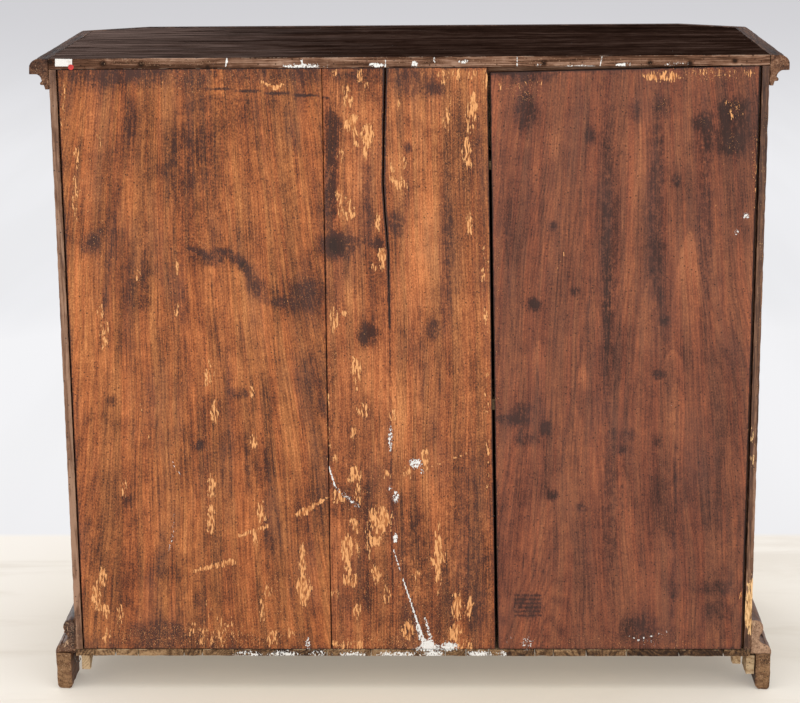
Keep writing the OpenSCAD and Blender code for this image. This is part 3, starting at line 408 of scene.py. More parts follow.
ORANGE_TONES = ((0.055, 0.019, 0.012), (0.175, 0.054, 0.020), (0.290, 0.092, 0.031), (0.47, 0.160, 0.051),
                (0.64, 0.235, 0.080))
MIDDLE_TONES = ((0.055, 0.019, 0.012), (0.180, 0.056, 0.022), (0.300, 0.097, 0.035), (0.50, 0.178, 0.062),
                (0.68, 0.260, 0.095))
PURPLE_TONES = ((0.040, 0.016, 0.012), (0.115, 0.039, 0.024), (0.188, 0.062, 0.034), (0.32, 0.108, 0.050),
                (0.45, 0.155, 0.070))
WALNUT_TONES = ((0.016, 0.006, 0.004), (0.052, 0.020, 0.010), (0.100, 0.040, 0.019), (0.20, 0.088, 0.042))
PANEL_TONES = ((0.022, 0.008, 0.005), (0.078, 0.030, 0.013), (0.150, 0.061, 0.026), (0.29, 0.135, 0.062))
FOOT_TONES = ((0.026, 0.012, 0.0055), (0.075, 0.035, 0.015), (0.145, 0.070, 0.031), (0.30, 0.168, 0.082))
PLINTH_END_TONES = ((0.060, 0.031, 0.018), (0.190, 0.102, 0.058), (0.330, 0.192, 0.118),
                    (0.52, 0.325, 0.210))
TOP_TONES = ((0.006, 0.003, 0.002), (0.014, 0.0065, 0.0045), (0.027, 0.014, 0.010), (0.060, 0.037, 0.030))
TOP_EDGE_TONES = ((0.044, 0.021, 0.013), (0.115, 0.056, 0.034), (0.210, 0.110, 0.070), (0.41, 0.26, 0.185))
EDGE_TONES = ((0.030, 0.014, 0.009), (0.088, 0.040, 0.025), (0.165, 0.077, 0.041), (0.34, 0.195, 0.125))
CROWN_TONES = ((0.009, 0.004, 0.003), (0.028, 0.012, 0.008), (0.052, 0.024, 0.015), (0.12, 0.062, 0.040))
RAW_TONES = ((0.12, 0.065, 0.032), (0.25, 0.150, 0.075), (0.38, 0.250, 0.135), (0.55, 0.40, 0.24))
INNER_TONES = ((0.060, 0.030, 0.016), (0.150, 0.080, 0.040), (0.245, 0.140, 0.072), (0.38, 0.24, 0.14))
GRIMY_TONES = ((0.024, 0.011, 0.006), (0.086, 0.043, 0.020), (0.190, 0.104, 0.048), (0.41, 0.255, 0.132))
WALNUT_WEAR = (0.25, 0.120, 0.060)
RAW_WEAR = (0.52, 0.38, 0.22)
TOP_WEAR = (0.34, 0.25, 0.19)
FOOT_WEAR = (0.33, 0.19, 0.105)
CROWN_WEAR = (0.20, 0.11, 0.07)
# The tone of the painted reflection on the top's +x end
TOP_REFLECTION_TONE = (0.140, 0.098, 0.086)
IRON_TONE = (0.055, 0.048, 0.042)
IRON_RUST = (0.075, 0.032, 0.016)
NAIL_TONE = (0.20, 0.17, 0.15)
NAIL_RUST = (0.12, 0.05, 0.02)

# Which way the grain runs in each kind of piece
GRAINS = {
    "X": ["cornice_front", "plinth_front", "top_rail", "drawer_rail", "bottom_rail", "back_rail", "shelf",
          "dust_board", "drawer_front", "drawer_back", "door_rails"],
    "XY": ["cornice_cants", "plinth_cants", "front_feet"],
    "Y": ["cornice_left", "cornice_right", "plinth_left", "plinth_right", "floor_boards", "drawer_runners",
          "shelf_battens", "drawer_sides", "drawer_bottom", "drawer_knob", "rear_feet", "glue_blocks"],
}
GRAIN_OF = {kind: grain for grain, kinds in GRAINS.items() for kind in kinds}
IRON_KINDS = ["hinge_pins", "hinge_barrels", "lock_case", "escutcheon", "bolt", "key"]


def kind_of(node):
    """A node's name without its side, but for the few whose sides are finished apart."""
    for side in ("_left", "_right"):
        if node.endswith(side) and not node.startswith(("cornice", "plinth", "side", "back")):
            return node[:-len(side)]
    return node


IRON = iron("dark_iron", IRON_TONE, IRON_RUST)
PANEL_KINDS = ("door_panel", "drawer_front")
CROWN_KINDS = ("cornice_left", "cornice_right", "cornice_cants", "cornice_front")
TOP_SEED = 5


def material_for(node, seed):
    """The finish of a piece: iron, dark top, bare wood or polished walnut."""
    kind = kind_of(node)
    if kind in IRON_KINDS:
        return IRON
    grain = GRAIN_OF.get(kind, "Z")
    if node == "top_board":
        return wood("waxed_top", TOP_TONES, "X", TOP_SEED, (0.75, 0.90), 0.0, 16, 0.12, 1.45, TOP_WEAR,
                    features=True, rear_tones=TOP_EDGE_TONES, painted_reflection=TOP_REFLECTION_TONE)
    if node == "back_rail":
        return wood("grimy_rail", EDGE_TONES, "X", seed, (0.7, 0.85), 0.15)
    if SLOT_OF[node] == "raw_wood":
        return wood("bare_" + node, RAW_TONES, grain, seed, (0.6, 0.8), 0.2, line_depth=0.20, contrast=0.9,
                    wear=RAW_WEAR, features=True, rear_tones=GRIMY_TONES)
    if kind == "rear_feet":
        return wood("worn_feet", WALNUT_TONES, grain, seed, (0.45, 0.65), 0.2, wear=FOOT_WEAR,
                    features=True, rear_tones=FOOT_TONES)
    if kind in CROWN_KINDS:
        return wood("dark_" + node, CROWN_TONES, grain, seed, (0.60, 0.80), 0.16, wear=CROWN_WEAR,
                    features=True, rear_tones=EDGE_TONES)
    tones = PANEL_TONES if kind in PANEL_KINDS else WALNUT_TONES
    rear = PLINTH_END_TONES if node == "plinth_left" else EDGE_TONES
    bare = BARE_LIP if node == "side_left" else BARE_WALNUT
    return wood("walnut_" + node, tones, grain, seed, (0.34, 0.52), 0.28, wear=WALNUT_WEAR, features=True,
                rear_tones=rear, bare=bare)


# Meshes

# Corners that are turned by more than these angles stay sharp, on copies and on the back boards
SHARP_ANGLE = math.radians(48)
BOARD_SHARP_ANGLE = math.radians(50)
# Faces nearer than this angle to flat are joined, and edges past the other one are worn round
FLAT_ANGLE = math.radians(0.4)
ARRIS_ANGLE = math.radians(30)
# Points nearer than this are joined, and planes cut with this tolerance
WELD_REACH = 3e-6
CUT_REACH = 1e-6
LEFT_SOLE_RADIUS = 12 * MM
RIGHT_SOLE_RADIUS = 5 * MM

# How deep the wear goes, in millimetres, and how much deeper at the rear end
WEAR_DEPTH = {"side_left": 0.7, "side_right": 0.7, "top_board": 0.8, "floor_boards": 1.0, "rear_feet": 1.4,
              "glue_blocks": 1.2, "cornice_left": 0.9, "cornice_right": 0.9, "plinth_left": 1.1,
              "plinth_right": 1.1}
REAR_WEAR = {"plinth_right": 2.2, "plinth_left": 0.6, "cornice_right": 1.0, "cornice_left": 1.4,
             "rear_feet": 0.6, "side_left": 0.4}
REAR_REACH = 12 * MM
# Wear follows a noise of this pitch round a mean share of its depth, and is never under the least one
WEAR_PITCH = 60.0
MEAN_WEAR = 0.45
LEAST_WEAR = 0.15
LEAST_TOP_WEAR = 0.4


def finish_piece(piece, node, material, replaced=()):
    """Gives a piece its material and body, and hides the parts it replaces."""
    piece.data.materials.clear()
    piece.data.materials.append(material)
    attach(piece, BODY_OF[node])
    if replaced:
        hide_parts(*replaced)
    return piece


def new_object(name, mesh):
    piece = bpy.data.objects.new(name, mesh)
    bpy.context.scene.collection.objects.link(piece)
    return piece


def settle_normals(piece):
    """Smooth shading that leaves large flat faces flat."""
    piece.data.shade_smooth()
    piece.data.set_sharp_from_angle(angle=SHARP_ANGLE)
    modifier = piece.modifiers.new("flat_faces", "WEIGHTED_NORMAL")
    modifier.keep_sharp = True


def cut_up(mesh, axis, places):
    """Cuts a bmesh by planes square to an axis, at places along it."""
    normal = Vector((0, 0, 0))
    normal[axis] = 1
    for place in places:
        geometry = mesh.verts[:] + mesh.edges[:] + mesh.faces[:]
        point = Vector((0, 0, 0))
        point[axis] = place
        bmesh.ops.bisect_plane(mesh, geom=geometry, dist=CUT_REACH, plane_co=point, plane_no=normal)


def spaced(low, high, step):
    """Evenly spaced places about a step apart, between low and high and without them."""
    count = max(1, round((high - low) / step))
    return [low + (high - low) * i / count for i in range(1, count)]


def rounded_sole(point):
    """Rounds the inner lower arris of the rear feet, more on the left foot."""
    low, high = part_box("rear_feet")
    inner_x = high.x - FOOT_THICK if point.x > 0 else low.x + FOOT_THICK
    radius = RIGHT_SOLE_RADIUS if point.x > 0 else LEFT_SOLE_RADIUS
    inwards = abs(point.x - inner_x)
    if inwards < radius and point.z < radius:
        lift = radius - math.sqrt(radius ** 2 - (radius - inwards) ** 2)
        point.z = max(point.z, lift)
    return point


def tint_islands(mesh, seed):
    """Gives each board of a piece its own tone, from -1 to 1."""
    tint = mesh.verts.layers.float.new("tint")
    draw = random.Random(seed)
    seen = set()
    for start in mesh.verts:
        if start in seen:
            continue
        tone = draw.uniform(-1, 1)
        waiting = [start]
        seen.add(start)
        while waiting:
            vert = waiting.pop()
            vert[tint] = tone
            for link in vert.link_edges:
                other = link.other_vert(vert)
                if other not in seen:
                    seen.add(other)
                    waiting.append(other)


def worn_copy(node, material, bevel, cuts, depth, seed):
    """A copy of a CAD node with rounded arrises and a surface worn inwards by up to depth."""
    source = frame["nodes"][node]
    mesh = bmesh.new()
    mesh.from_mesh(source.data)
    bmesh.ops.remove_doubles(mesh, verts=mesh.verts[:], dist=WELD_REACH)
    bmesh.ops.dissolve_limit(mesh, angle_limit=FLAT_ANGLE, verts=mesh.verts[:], edges=mesh.edges[:])
    edge = mesh.faces.layers.float.new("edge")
    arrises = [e for e in mesh.edges if len(e.link_faces) == 2 and e.calc_face_angle(0) > ARRIS_ANGLE]
    made = bmesh.ops.bevel(mesh, geom=arrises, offset=bevel, segments=2, profile=0.5, affect="EDGES",
                           clamp_overlap=True, loop_slide=True)
    for face in made["faces"]:
        face[edge] = 1.0
    for axis, places in cuts:
        cut_up(mesh, axis, places)
    if depth:
        mesh.normal_update()
        low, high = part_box(node)
        least = LEAST_TOP_WEAR if node == "top_board" else LEAST_WEAR
        for vert in mesh.verts:
            dip = noise.noise(vert.co * WEAR_PITCH + Vector((seed, 0, 0)))
            dip += 0.5 * noise.noise(vert.co * WEAR_PITCH * 3)
            rear_wear = 1 + REAR_WEAR.get(node, 0) * max(0.0, 1 - (BACK_Y - vert.co.y) / REAR_REACH)
            moved = vert.co - vert.normal * depth * rear_wear * max(least, MEAN_WEAR + dip)
            if node == "rear_feet":
                moved = rounded_sole(moved)
            vert.co = [min(max(moved[i], low[i]), high[i]) for i in range(3)]
    tint_islands(mesh, seed)
    data = bpy.data.meshes.new("worn_" + node)
    mesh.to_mesh(data)
    mesh.free()
    piece = new_object("worn_" + node, data)
    settle_normals(piece)
    mark_features(piece.data)
    return finish_piece(piece, node, material, [node])


# Marks on the back, in picture points. A patch is left, right, top, bottom and strength; a stroke is
# its start, half-width there, its end, half-width there and strength.

WORN_PATCHES = [
    (331, 338, 69, 76, 0.45), (356, 363, 69, 81, 0.5), (343, 350, 82, 95, 0.5), (344, 351, 93, 108, 0.62),
    (364, 369, 81, 88, 0.45), (447, 451, 90, 108, 0.5), (443, 450, 108, 133, 0.62),
    (437, 450, 68, 84, 0.55), (451, 461, 69, 80, 0.5), (467, 477, 71, 79, 0.45),
    (471, 478, 92, 121, 0.72), (466, 473, 94, 136, 0.55), (462, 471, 134, 176, 0.6),
    (467, 472, 212, 238, 0.66), (484, 488, 66, 92, 0.5), (398, 401, 96, 109, 0.55),
    (390, 393, 164, 183, 0.7), (393, 409, 177, 194, 0.48), (403, 406, 156, 168, 0.6),
    (346, 358, 115, 131, 0.85), (354, 358, 128, 146, 0.7), (362, 372, 124, 147, 0.85),
    (363, 369, 144, 160, 0.72), (338, 344, 149, 162, 0.5), (335, 341, 186, 210, 0.6),
    (338, 355, 198, 220, 0.44), (350, 354, 210, 220, 0.75), (375, 379, 213, 232, 0.66),
    (379, 385, 248, 269, 0.75), (372, 376, 262, 271, 0.5), (331, 339, 304, 334, 0.62),
    (342, 349, 309, 317, 0.5), (74, 79, 146, 170, 0.6), (73, 77, 176, 226, 0.48),
    (98, 104, 305, 320, 0.5), (101, 108, 318, 350, 0.6), (176, 179, 258, 274, 0.5),
    (174, 178, 300, 317, 0.5), (97, 101, 133, 150, 0.5), (720, 745, 99, 119, 0.36),
    (204, 213, 360, 388, 0.5), (211, 218, 400, 424, 0.6), (250, 256, 386, 397, 0.6),
    (251, 256, 432, 453, 0.6), (208, 215, 474, 500, 0.55), (207, 214, 505, 532, 0.66),
    (257, 264, 501, 522, 0.66), (206, 210, 600, 620, 0.55), (299, 306, 545, 576, 0.66),
    (297, 310, 576, 604, 0.9), (264, 271, 585, 598, 0.6), (96, 108, 566, 588, 0.56),
    (92, 100, 585, 611, 0.66), (103, 109, 602, 619, 0.66), (117, 122, 606, 627, 0.66),
    (103, 110, 629, 644, 0.6), (190, 194, 619, 636, 0.6), (200, 204, 626, 645, 0.6),
    (260, 265, 598, 626, 0.5), (287, 294, 629, 638, 0.6), (198, 238, 613, 648, 0.38),
    (266, 279, 629, 646, 0.55), (122, 127, 474, 497, 0.5), (351, 360, 352, 388, 0.62),
    (357, 369, 403, 417, 0.6), (351, 356, 425, 442, 0.6), (389, 396, 410, 420, 0.55),
    (348, 360, 467, 482, 0.75), (355, 362, 482, 506, 0.62), (331, 347, 490, 503, 0.6),
    (383, 390, 469, 480, 0.6), (369, 392, 507, 532, 0.8), (366, 371, 518, 558, 0.6),
    (371, 381, 530, 548, 0.66), (382, 388, 537, 546, 0.5), (351, 359, 515, 533, 0.62),
    (342, 352, 534, 562, 0.85), (355, 362, 539, 556, 0.55), (345, 352, 560, 574, 0.62),
    (344, 359, 573, 587, 0.68), (331, 339, 590, 600, 0.5), (333, 337, 455, 466, 0.5),
    (372, 380, 565, 584, 0.66), (382, 390, 583, 604, 0.66), (413, 422, 570, 580, 0.55),
    (431, 446, 552, 567, 0.7), (435, 441, 526, 594, 0.72), (452, 462, 592, 619, 0.8),
    (465, 474, 598, 619, 0.66), (353, 360, 602, 619, 0.62), (402, 413, 621, 641, 0.7),
    (448, 461, 624, 642, 0.74), (331, 364, 639, 651, 0.42), (355, 364, 640, 649, 0.62),
    (457, 473, 641, 651, 0.52), (421, 428, 448, 470, 0.64), (404, 411, 464, 480, 0.56),
    (498, 504, 82, 89, 0.45), (516, 527, 82, 89, 0.42), (537, 543, 81, 87, 0.4), (641, 684, 72, 81, 0.55),
    (650, 672, 75, 81, 0.7), (684, 755, 69, 76, 0.38), (748, 754, 70, 78, 0.42),
    (754, 758, 130, 186, 0.3), (754, 757, 186, 214, 0.4), (481, 488, 240, 300, 0.34),
    (484, 488, 300, 336, 0.4), (484, 489, 360, 420, 0.34), (60, 66, 80, 130, 0.34),
    (746.5, 754, 576, 604, 0.75), (745, 754, 592, 632, 0.92), (60, 72, 618, 630, 0.5),
    (62, 68, 640, 646, 0.55), (748, 756, 420, 470, 0.42), (486, 489, 430, 500, 0.4),
    (326, 330, 380, 470, 0.36), (136, 142, 270, 290, 0.42),
]
WORN_STROKES = [
    (262, 82, 1.3, 275, 88, 2.2, 0.9), (275, 88, 2.2, 283, 84, 1.2, 0.9),
    (300, 514, 4.2, 326, 498, 1.0, 0.88), (196, 571, 2.0, 214, 566, 2.4, 0.86),
    (214, 566, 2.6, 232, 562, 3.6, 0.86), (240, 536, 1.6, 267, 526, 2.2, 0.76),
    (328, 498, 1.6, 342, 496, 2.0, 0.6), (556, 272, 0.7, 568, 244, 0.8, 0.42),
    (530, 330, 0.7, 541, 318, 0.8, 0.42), (254, 530, 2.2, 256, 550, 1.8, 0.84),
    (426, 469, 1.1, 470, 452, 0.8, 0.5), (705, 202, 0.6, 716, 205, 0.6, 0.4),
    (741, 592, 1.2, 741, 600, 1.0, 0.7), (262, 505, 1.4, 266, 520, 1.6, 0.62),
    (136, 388, 0.6, 149, 439, 0.6, 0.32), (166, 441, 0.6, 185, 477, 0.6, 0.34),
    (168, 512, 0.6, 176, 551, 0.6, 0.34),
]
FLECKED_PATCHES = [
    (330, 400, 66, 200, 0.38), (425, 486, 66, 200, 0.42), (325, 400, 420, 600, 0.36),
    (230, 330, 560, 650, 0.4), (80, 330, 622, 652, 0.5), (325, 495, 626, 652, 0.52),
    (330, 495, 540, 640, 0.4), (500, 745, 632, 652, 0.36), (500, 545, 74, 104, 0.42),
    (657, 669, 98, 116, 0.36), (700, 708, 117, 126, 0.42), (727, 740, 100, 114, 0.46),
    (726, 740, 134, 152, 0.38), (752, 758, 120, 220, 0.42), (70, 110, 120, 340, 0.38),
    (190, 225, 340, 620, 0.3), (120, 330, 66, 100, 0.4), (325, 345, 300, 420, 0.4),
    (60, 495, 68, 655, 0.27), (495, 760, 68, 655, 0.1), (181, 200, 232, 244, 0.42),
    (196, 214, 236, 252, 0.46), (250, 330, 264, 310, 0.34), (40, 60, 60, 660, 0.3),
    (756, 775, 60, 660, 0.34), (495, 500, 66, 660, 0.34), (80, 130, 380, 640, 0.3),
    (640, 760, 66, 82, 0.45), (300, 330, 60, 330, 0.3), (80, 240, 57, 66, 0.5), (240, 760, 57, 66, 0.42),
    (28, 48, 52, 90, 0.4), (768, 790, 52, 90, 0.4), (52, 84, 600, 690, 0.52), (744, 778, 620, 692, 0.52),
    (80, 480, 650, 660, 0.36),
]
DARK_PATCHES = [
    (60, 330, 66, 85, 0.36), (66, 160, 66, 80, 0.28), (80, 120, 74, 92, 0.32), (122, 137, 98, 142, 0.34),
    (165, 222, 130, 196, 0.32), (172, 200, 95, 140, 0.18), (82, 103, 232, 253, 0.38),
    (88, 97, 234, 246, 0.2), (188, 206, 245, 262, 0.3), (206, 224, 251, 266, 0.46),
    (224, 247, 246, 266, 0.22), (240, 252, 258, 274, 0.3), (247, 263, 268, 295, 0.3),
    (262, 328, 278, 310, 0.2), (306, 326, 276, 308, 0.1), (110, 150, 240, 330, 0.1),
    (134, 148, 255, 318, 0.22), (324, 340, 106, 160, 0.62), (325, 337, 150, 234, 0.52),
    (322, 362, 231, 258, 0.55), (327, 345, 236, 256, 0.6), (372, 383, 238, 249, 0.62),
    (359, 376, 324, 345, 0.62), (356, 384, 310, 350, 0.22), (386, 442, 66, 96, 0.42),
    (425, 443, 84, 96, 0.5), (405, 411, 143, 152, 0.6), (388, 405, 212, 234, 0.42),
    (442, 453, 156, 330, 0.36), (363, 373, 158, 236, 0.32), (425, 441, 320, 338, 0.42),
    (340, 386, 66, 82, 0.25), (489, 560, 68, 82, 0.4), (516, 536, 92, 132, 0.45),
    (600, 617, 92, 390, 0.3), (603, 611, 180, 380, 0.22), (629, 640, 94, 124, 0.42),
    (648, 665, 92, 330, 0.4), (698, 712, 116, 330, 0.34), (585, 596, 128, 142, 0.4),
    (673, 680, 175, 185, 0.6), (550, 556, 222, 230, 0.6), (527, 540, 298, 311, 0.5),
    (530, 537, 300, 309, 0.45), (570, 580, 286, 295, 0.45), (661, 669, 317, 325, 0.5),
    (698, 757, 102, 153, 0.34), (722, 746, 98, 120, 0.42), (725, 742, 132, 154, 0.42),
    (655, 672, 96, 116, 0.35), (694, 708, 115, 130, 0.42), (509, 533, 405, 427, 0.42),
    (495, 517, 416, 424, 0.5), (514, 536, 431, 445, 0.42), (541, 551, 422, 434, 0.52),
    (612, 624, 444, 455, 0.48), (549, 557, 491, 500, 0.66), (578, 586, 503, 512, 0.5),
    (653, 664, 371, 379, 0.48), (654, 662, 438, 448, 0.32), (107, 116, 395, 406, 0.42),
    (195, 203, 441, 449, 0.7), (123, 133, 496, 506, 0.32), (228, 249, 388, 399, 0.42),
    (261, 270, 338, 552, 0.24), (225, 231, 346, 400, 0.32), (245, 252, 412, 488, 0.32),
    (124, 188, 622, 637, 0.4), (80, 330, 634, 652, 0.3), (514, 541, 594, 619, 0.4),
    (617, 662, 616, 641, 0.42), (665, 678, 584, 600, 0.3), (704, 736, 603, 622, 0.28),
    (698, 750, 582, 594, 0.3), (602, 620, 430, 600, 0.26), (605, 636, 429, 440, 0.3),
    (88, 104, 514, 564, 0.26), (330, 360, 400, 640, 0.1), (396, 430, 500, 640, 0.36),
    (436, 494, 470, 650, 0.32), (362, 372, 420, 640, 0.24), (300, 332, 330, 560, 0.18),
    (700, 740, 420, 600, 0.1), (570, 600, 480, 640, 0.08), (500, 530, 440, 560, 0.16),
    # After its first patch, the next line holds two strips along the floor boards' rear ends: painted shade
    # mixed with dirt
    (150, 200, 560, 640, 0.2), (500, 752, 650, 659, 0.45), (200, 330, 650, 659, 0.4),
    (54, 74, 600, 640, 0.35), (74, 82, 610, 650, 0.55), (62, 74, 628, 655, 0.35),
    (744, 753, 636, 652, 0.6), (85, 91, 655, 669, 0.35), (74, 80, 560, 600, 0.25),
    (762, 770, 657, 664, 0.4), (46, 62, 58, 66, 0.3), (101, 105, 61.5, 65.5, 0.9),
    (139, 143, 62.5, 66.5, 0.9), (542, 546, 61.5, 65, 0.9), (648, 652, 60.8, 64.4, 0.9),
    (688, 692, 61.4, 65, 0.9), (733, 737, 59, 62.6, 0.9), (48, 52, 60, 64, 0.9), (206, 209, 66, 69, 0.8),
    (140, 152, 90, 330, 0.2), (200, 260, 90, 130, 0.18), (284, 300, 110, 240, 0.18),
    (66, 80, 150, 200, 0.16),
]
DARK_STROKES = [
    (189, 248, 2.2, 207, 256, 4, 0.4), (226, 251, 4, 242, 264, 6, 0.46), (244, 266, 4, 257, 290, 7, 0.52),
    (263, 300, 4, 281, 303, 4, 0.34), (283, 304, 6, 308, 288, 8, 0.24),
    (210, 272, 0.9, 216, 330, 1.0, 0.42), (216, 330, 1.0, 226, 392, 1.0, 0.3),
    (178, 255, 4, 185, 320, 5, 0.2), (205, 88, 0.9, 328, 97, 0.9, 0.85),
    (205, 97, 0.6, 262, 102, 0.6, 0.3), (100, 232, 3, 84, 250, 3, 0.4),
    (489, 74, 0.7, 623, 67.5, 0.7, 0.55), (214, 248, 1.6, 224, 252, 1.6, 0.4),
    (500, 140, 0.9, 512, 330, 0.9, 0.3), (590, 300, 1.4, 560, 470, 1.6, 0.26),
    (628, 330, 1.4, 622, 520, 1.6, 0.26), (678, 380, 1.6, 672, 640, 2.4, 0.3),
    (534, 330, 1.2, 548, 500, 1.2, 0.26), (120, 180, 1.4, 90, 420, 1.6, 0.22),
    (236, 300, 1.2, 300, 640, 1.2, 0.22),
]
# Old saw marks across the grain, low on the right board
DARK_STROKES += [(515, 596 + 4 * i, 0.8, 541, 595.4 + 4 * i, 0.7, 0.56) for i in range(6)]
LIGHT_PATCHES = [
    (80, 96, 110, 242, 0.5), (66, 78, 100, 330, 0.26), (206, 256, 262, 342, 0.5),
    (100, 125, 100, 140, 0.22), (345, 362, 140, 205, 0.4), (392, 404, 90, 150, 0.36),
    (393, 428, 92, 144, 0.4), (411, 436, 110, 300, 0.52), (404, 424, 176, 330, 0.42),
    (390, 410, 250, 330, 0.3), (344, 372, 90, 130, 0.24), (156, 180, 95, 130, 0.22),
    (489, 502, 82, 300, 0.42), (550, 558, 130, 158, 0.5), (534, 537, 150, 190, 0.42),
    (535, 557, 96, 114, 0.24), (637, 646, 112, 186, 0.24), (676, 686, 114, 174, 0.3),
    (747, 756, 212, 640, 0.4), (500, 520, 320, 420, 0.25), (705, 720, 160, 300, 0.16),
    (620, 634, 130, 300, 0.18), (575, 592, 160, 280, 0.14), (126, 160, 300, 440, 0.26),
    (110, 180, 440, 560, 0.22), (230, 262, 400, 480, 0.24), (66, 96, 330, 600, 0.24),
    (372, 420, 330, 450, 0.3), (420, 470, 340, 440, 0.26), (530, 552, 340, 400, 0.36),
    (556, 572, 430, 560, 0.22), (600, 650, 540, 620, 0.24), (500, 530, 540, 640, 0.3),
    (499, 514, 440, 560, 0.26), (700, 716, 480, 620, 0.14), (636, 652, 400, 500, 0.18),
    (180, 205, 300, 360, 0.22), (276, 296, 340, 520, 0.26), (290, 320, 110, 230, 0.14),
    (226, 250, 130, 230, 0.14), (334, 350, 350, 470, 0.22), (752, 778, 654, 692, 0.75),
    (84, 330, 57, 66, 0.55),
]
LIGHT_STROKES = [
    (294, 424, 0.8, 296, 571, 0.8, 0.45), (548, 180, 1.0, 540, 300, 1.0, 0.35),
    (570, 170, 1.0, 552, 300, 1.0, 0.3), (170, 210, 1.0, 150, 330, 1.2, 0.3),
    (124, 190, 1.0, 112, 330, 1.2, 0.3), (714, 240, 0.8, 722, 330, 0.8, 0.35),
]
# Light tongues between the grain: the tip's place, the foot's left and right edges and height, the strength
TONGUES = [
    (690, 232, 664, 701, 352, 0.8), (650, 279, 630, 664, 392, 0.72), (538, 341, 528, 552, 404, 0.78),
    (673, 350, 658, 688, 382, 0.66), (583, 365, 576, 592, 392, 0.5), (640, 383, 630, 652, 432, 0.56),
    (212, 266, 221, 258, 430, 0.72), (262, 292, 258, 272, 400, 0.3), (556, 428, 548, 574, 560, 0.4),
    (676, 384, 664, 700, 470, 0.36), (140, 250, 118, 170, 420, 0.26), (622, 470, 606, 644, 620, 0.36),
]
PAINT_PATCHES = [
    (409, 422, 459, 468, 0.66), (421, 424, 470, 474, 0.55), (389, 391, 486, 491, 0.6),
    (393, 399, 491, 503, 0.6), (389, 392, 425, 453, 0.64), (394, 397, 534, 543, 0.8),
    (421, 435, 640, 651, 0.85), (412, 448, 645, 651, 0.62), (440, 458, 643, 650, 0.78),
    (744, 749, 213, 219, 0.6), (735, 739, 229, 235, 0.56), (234, 262, 651, 657, 0.56),
    (266, 300, 651, 657, 0.6), (306, 330, 651, 656, 0.5), (340, 366, 652, 657, 0.62),
    (372, 420, 652, 657, 0.6), (422, 444, 651, 657, 0.75), (466, 492, 651, 657, 0.66),
    (498, 507, 651, 657, 0.6), (306, 310, 637, 650, 0.56), (520, 533, 637, 650, 0.42),
    (640, 660, 636, 648, 0.22), (282, 324, 64.6, 67.6, 0.62), (369, 385, 63.6, 66.6, 0.72),
    (412, 417, 61.5, 66.5, 0.7), (458, 471, 60.5, 63, 0.58), (563, 601, 65.6, 68.2, 0.62),
    (614, 632, 63.6, 66, 0.58), (660, 690, 62.5, 65.5, 0.42), (536, 540, 63.6, 67, 0.52),
]
PAINT_STROKES = [
    (331, 484, 1.2, 345, 495, 2.6, 0.42), (345, 495, 2.6, 358, 507, 2.0, 0.5),
    (329, 467, 0.8, 335, 486, 0.9, 0.8), (393, 548, 0.5, 400, 570, 0.6, 0.9),
    (403, 579, 0.6, 414, 612, 0.9, 0.95), (414, 612, 0.9, 424, 642, 1.9, 0.85),
    (415, 622, 0.6, 420, 640, 1.4, 0.7), (425, 618, 1.4, 431, 640, 2.2, 0.62),
    (227, 58, 1.3, 226, 66, 1.0, 0.8), (174, 513, 0.8, 173, 532, 1.2, 0.48),
    (173, 532, 1.2, 169, 551, 0.9, 0.52), (172, 460, 0.5, 176, 470, 0.5, 0.66),
    (176, 470, 0.5, 183, 477, 0.4, 0.6), (629, 636, 0.8, 641, 641, 0.6, 0.7),
    (643, 638, 0.5, 667, 632, 0.5, 0.62), (666, 632, 0.5, 660, 640, 0.5, 0.6),
    (512, 636, 0.5, 506, 643, 0.5, 0.62), (302, 60, 1.0, 302, 66, 1.0, 0.8),
    (385, 60, 0.8, 385, 67, 0.8, 0.8), (434.6, 57, 0.8, 434.6, 62, 0.8, 0.7),
    (517, 57, 0.9, 517, 66, 0.9, 0.7), (602, 57, 0.8, 600, 66, 0.8, 0.75),
    (266, 59, 0.6, 266, 64, 0.6, 0.6), (747, 214, 0.9, 745, 218, 1.0, 0.7),
]


# How far past its outline each kind of mark reaches, and over what share of its size it fades
PATCH_REACH = 1.4
PATCH_FADE = 0.8
STROKE_REACH = 1.5
TONGUE_REACH = 1.1
TONGUE_FADE = 0.26


def in_patch(u, v, patch):
    """How far inside a soft oval patch each point lies, from 0 to 1."""
    left, right, top, bottom = patch
    reach = np.hypot((u - (left + right) / 2) / ((right - left) / 2 + 1),
                     (v - (top + bottom) / 2) / ((bottom - top) / 2 + 1))
    return np.clip((PATCH_REACH - reach) / PATCH_FADE, 0, 1)


def by_stroke(u, v, stroke):
    """How near each point lies to a tapered stroke, from 0 to 1."""
    u0, v0, width0, u1, v1, width1 = stroke
    run = np.array([u1 - u0, v1 - v0])
    t = np.clip(((u - u0) * run[0] + (v - v0) * run[1]) / (run @ run), 0, 1)
    away = np.hypot(u - u0 - t * run[0], v - v0 - t * run[1])
    return np.clip(STROKE_REACH - away / (width0 + (width1 - width0) * t), 0, 1)


def in_tongue(u, v, tongue):
    """How far inside a pointed tongue each point lies, from 0 to 1, fading towards its foot."""
    tip_u, tip_v, left, right, foot_v = tongue
    t = np.clip((v - tip_v) / (foot_v - tip_v), 0, 1)
    middle = tip_u + ((left + right) / 2 - tip_u) * t
    half_width = (right - left) / 2 * np.sqrt(t) + 0.3
    inside = np.clip((TONGUE_REACH - np.abs(u - middle) / half_width) / TONGUE_FADE, 0, 1)
    return np.where(v > tip_v - 1, inside * (1 - t) ** 0.6, 0)


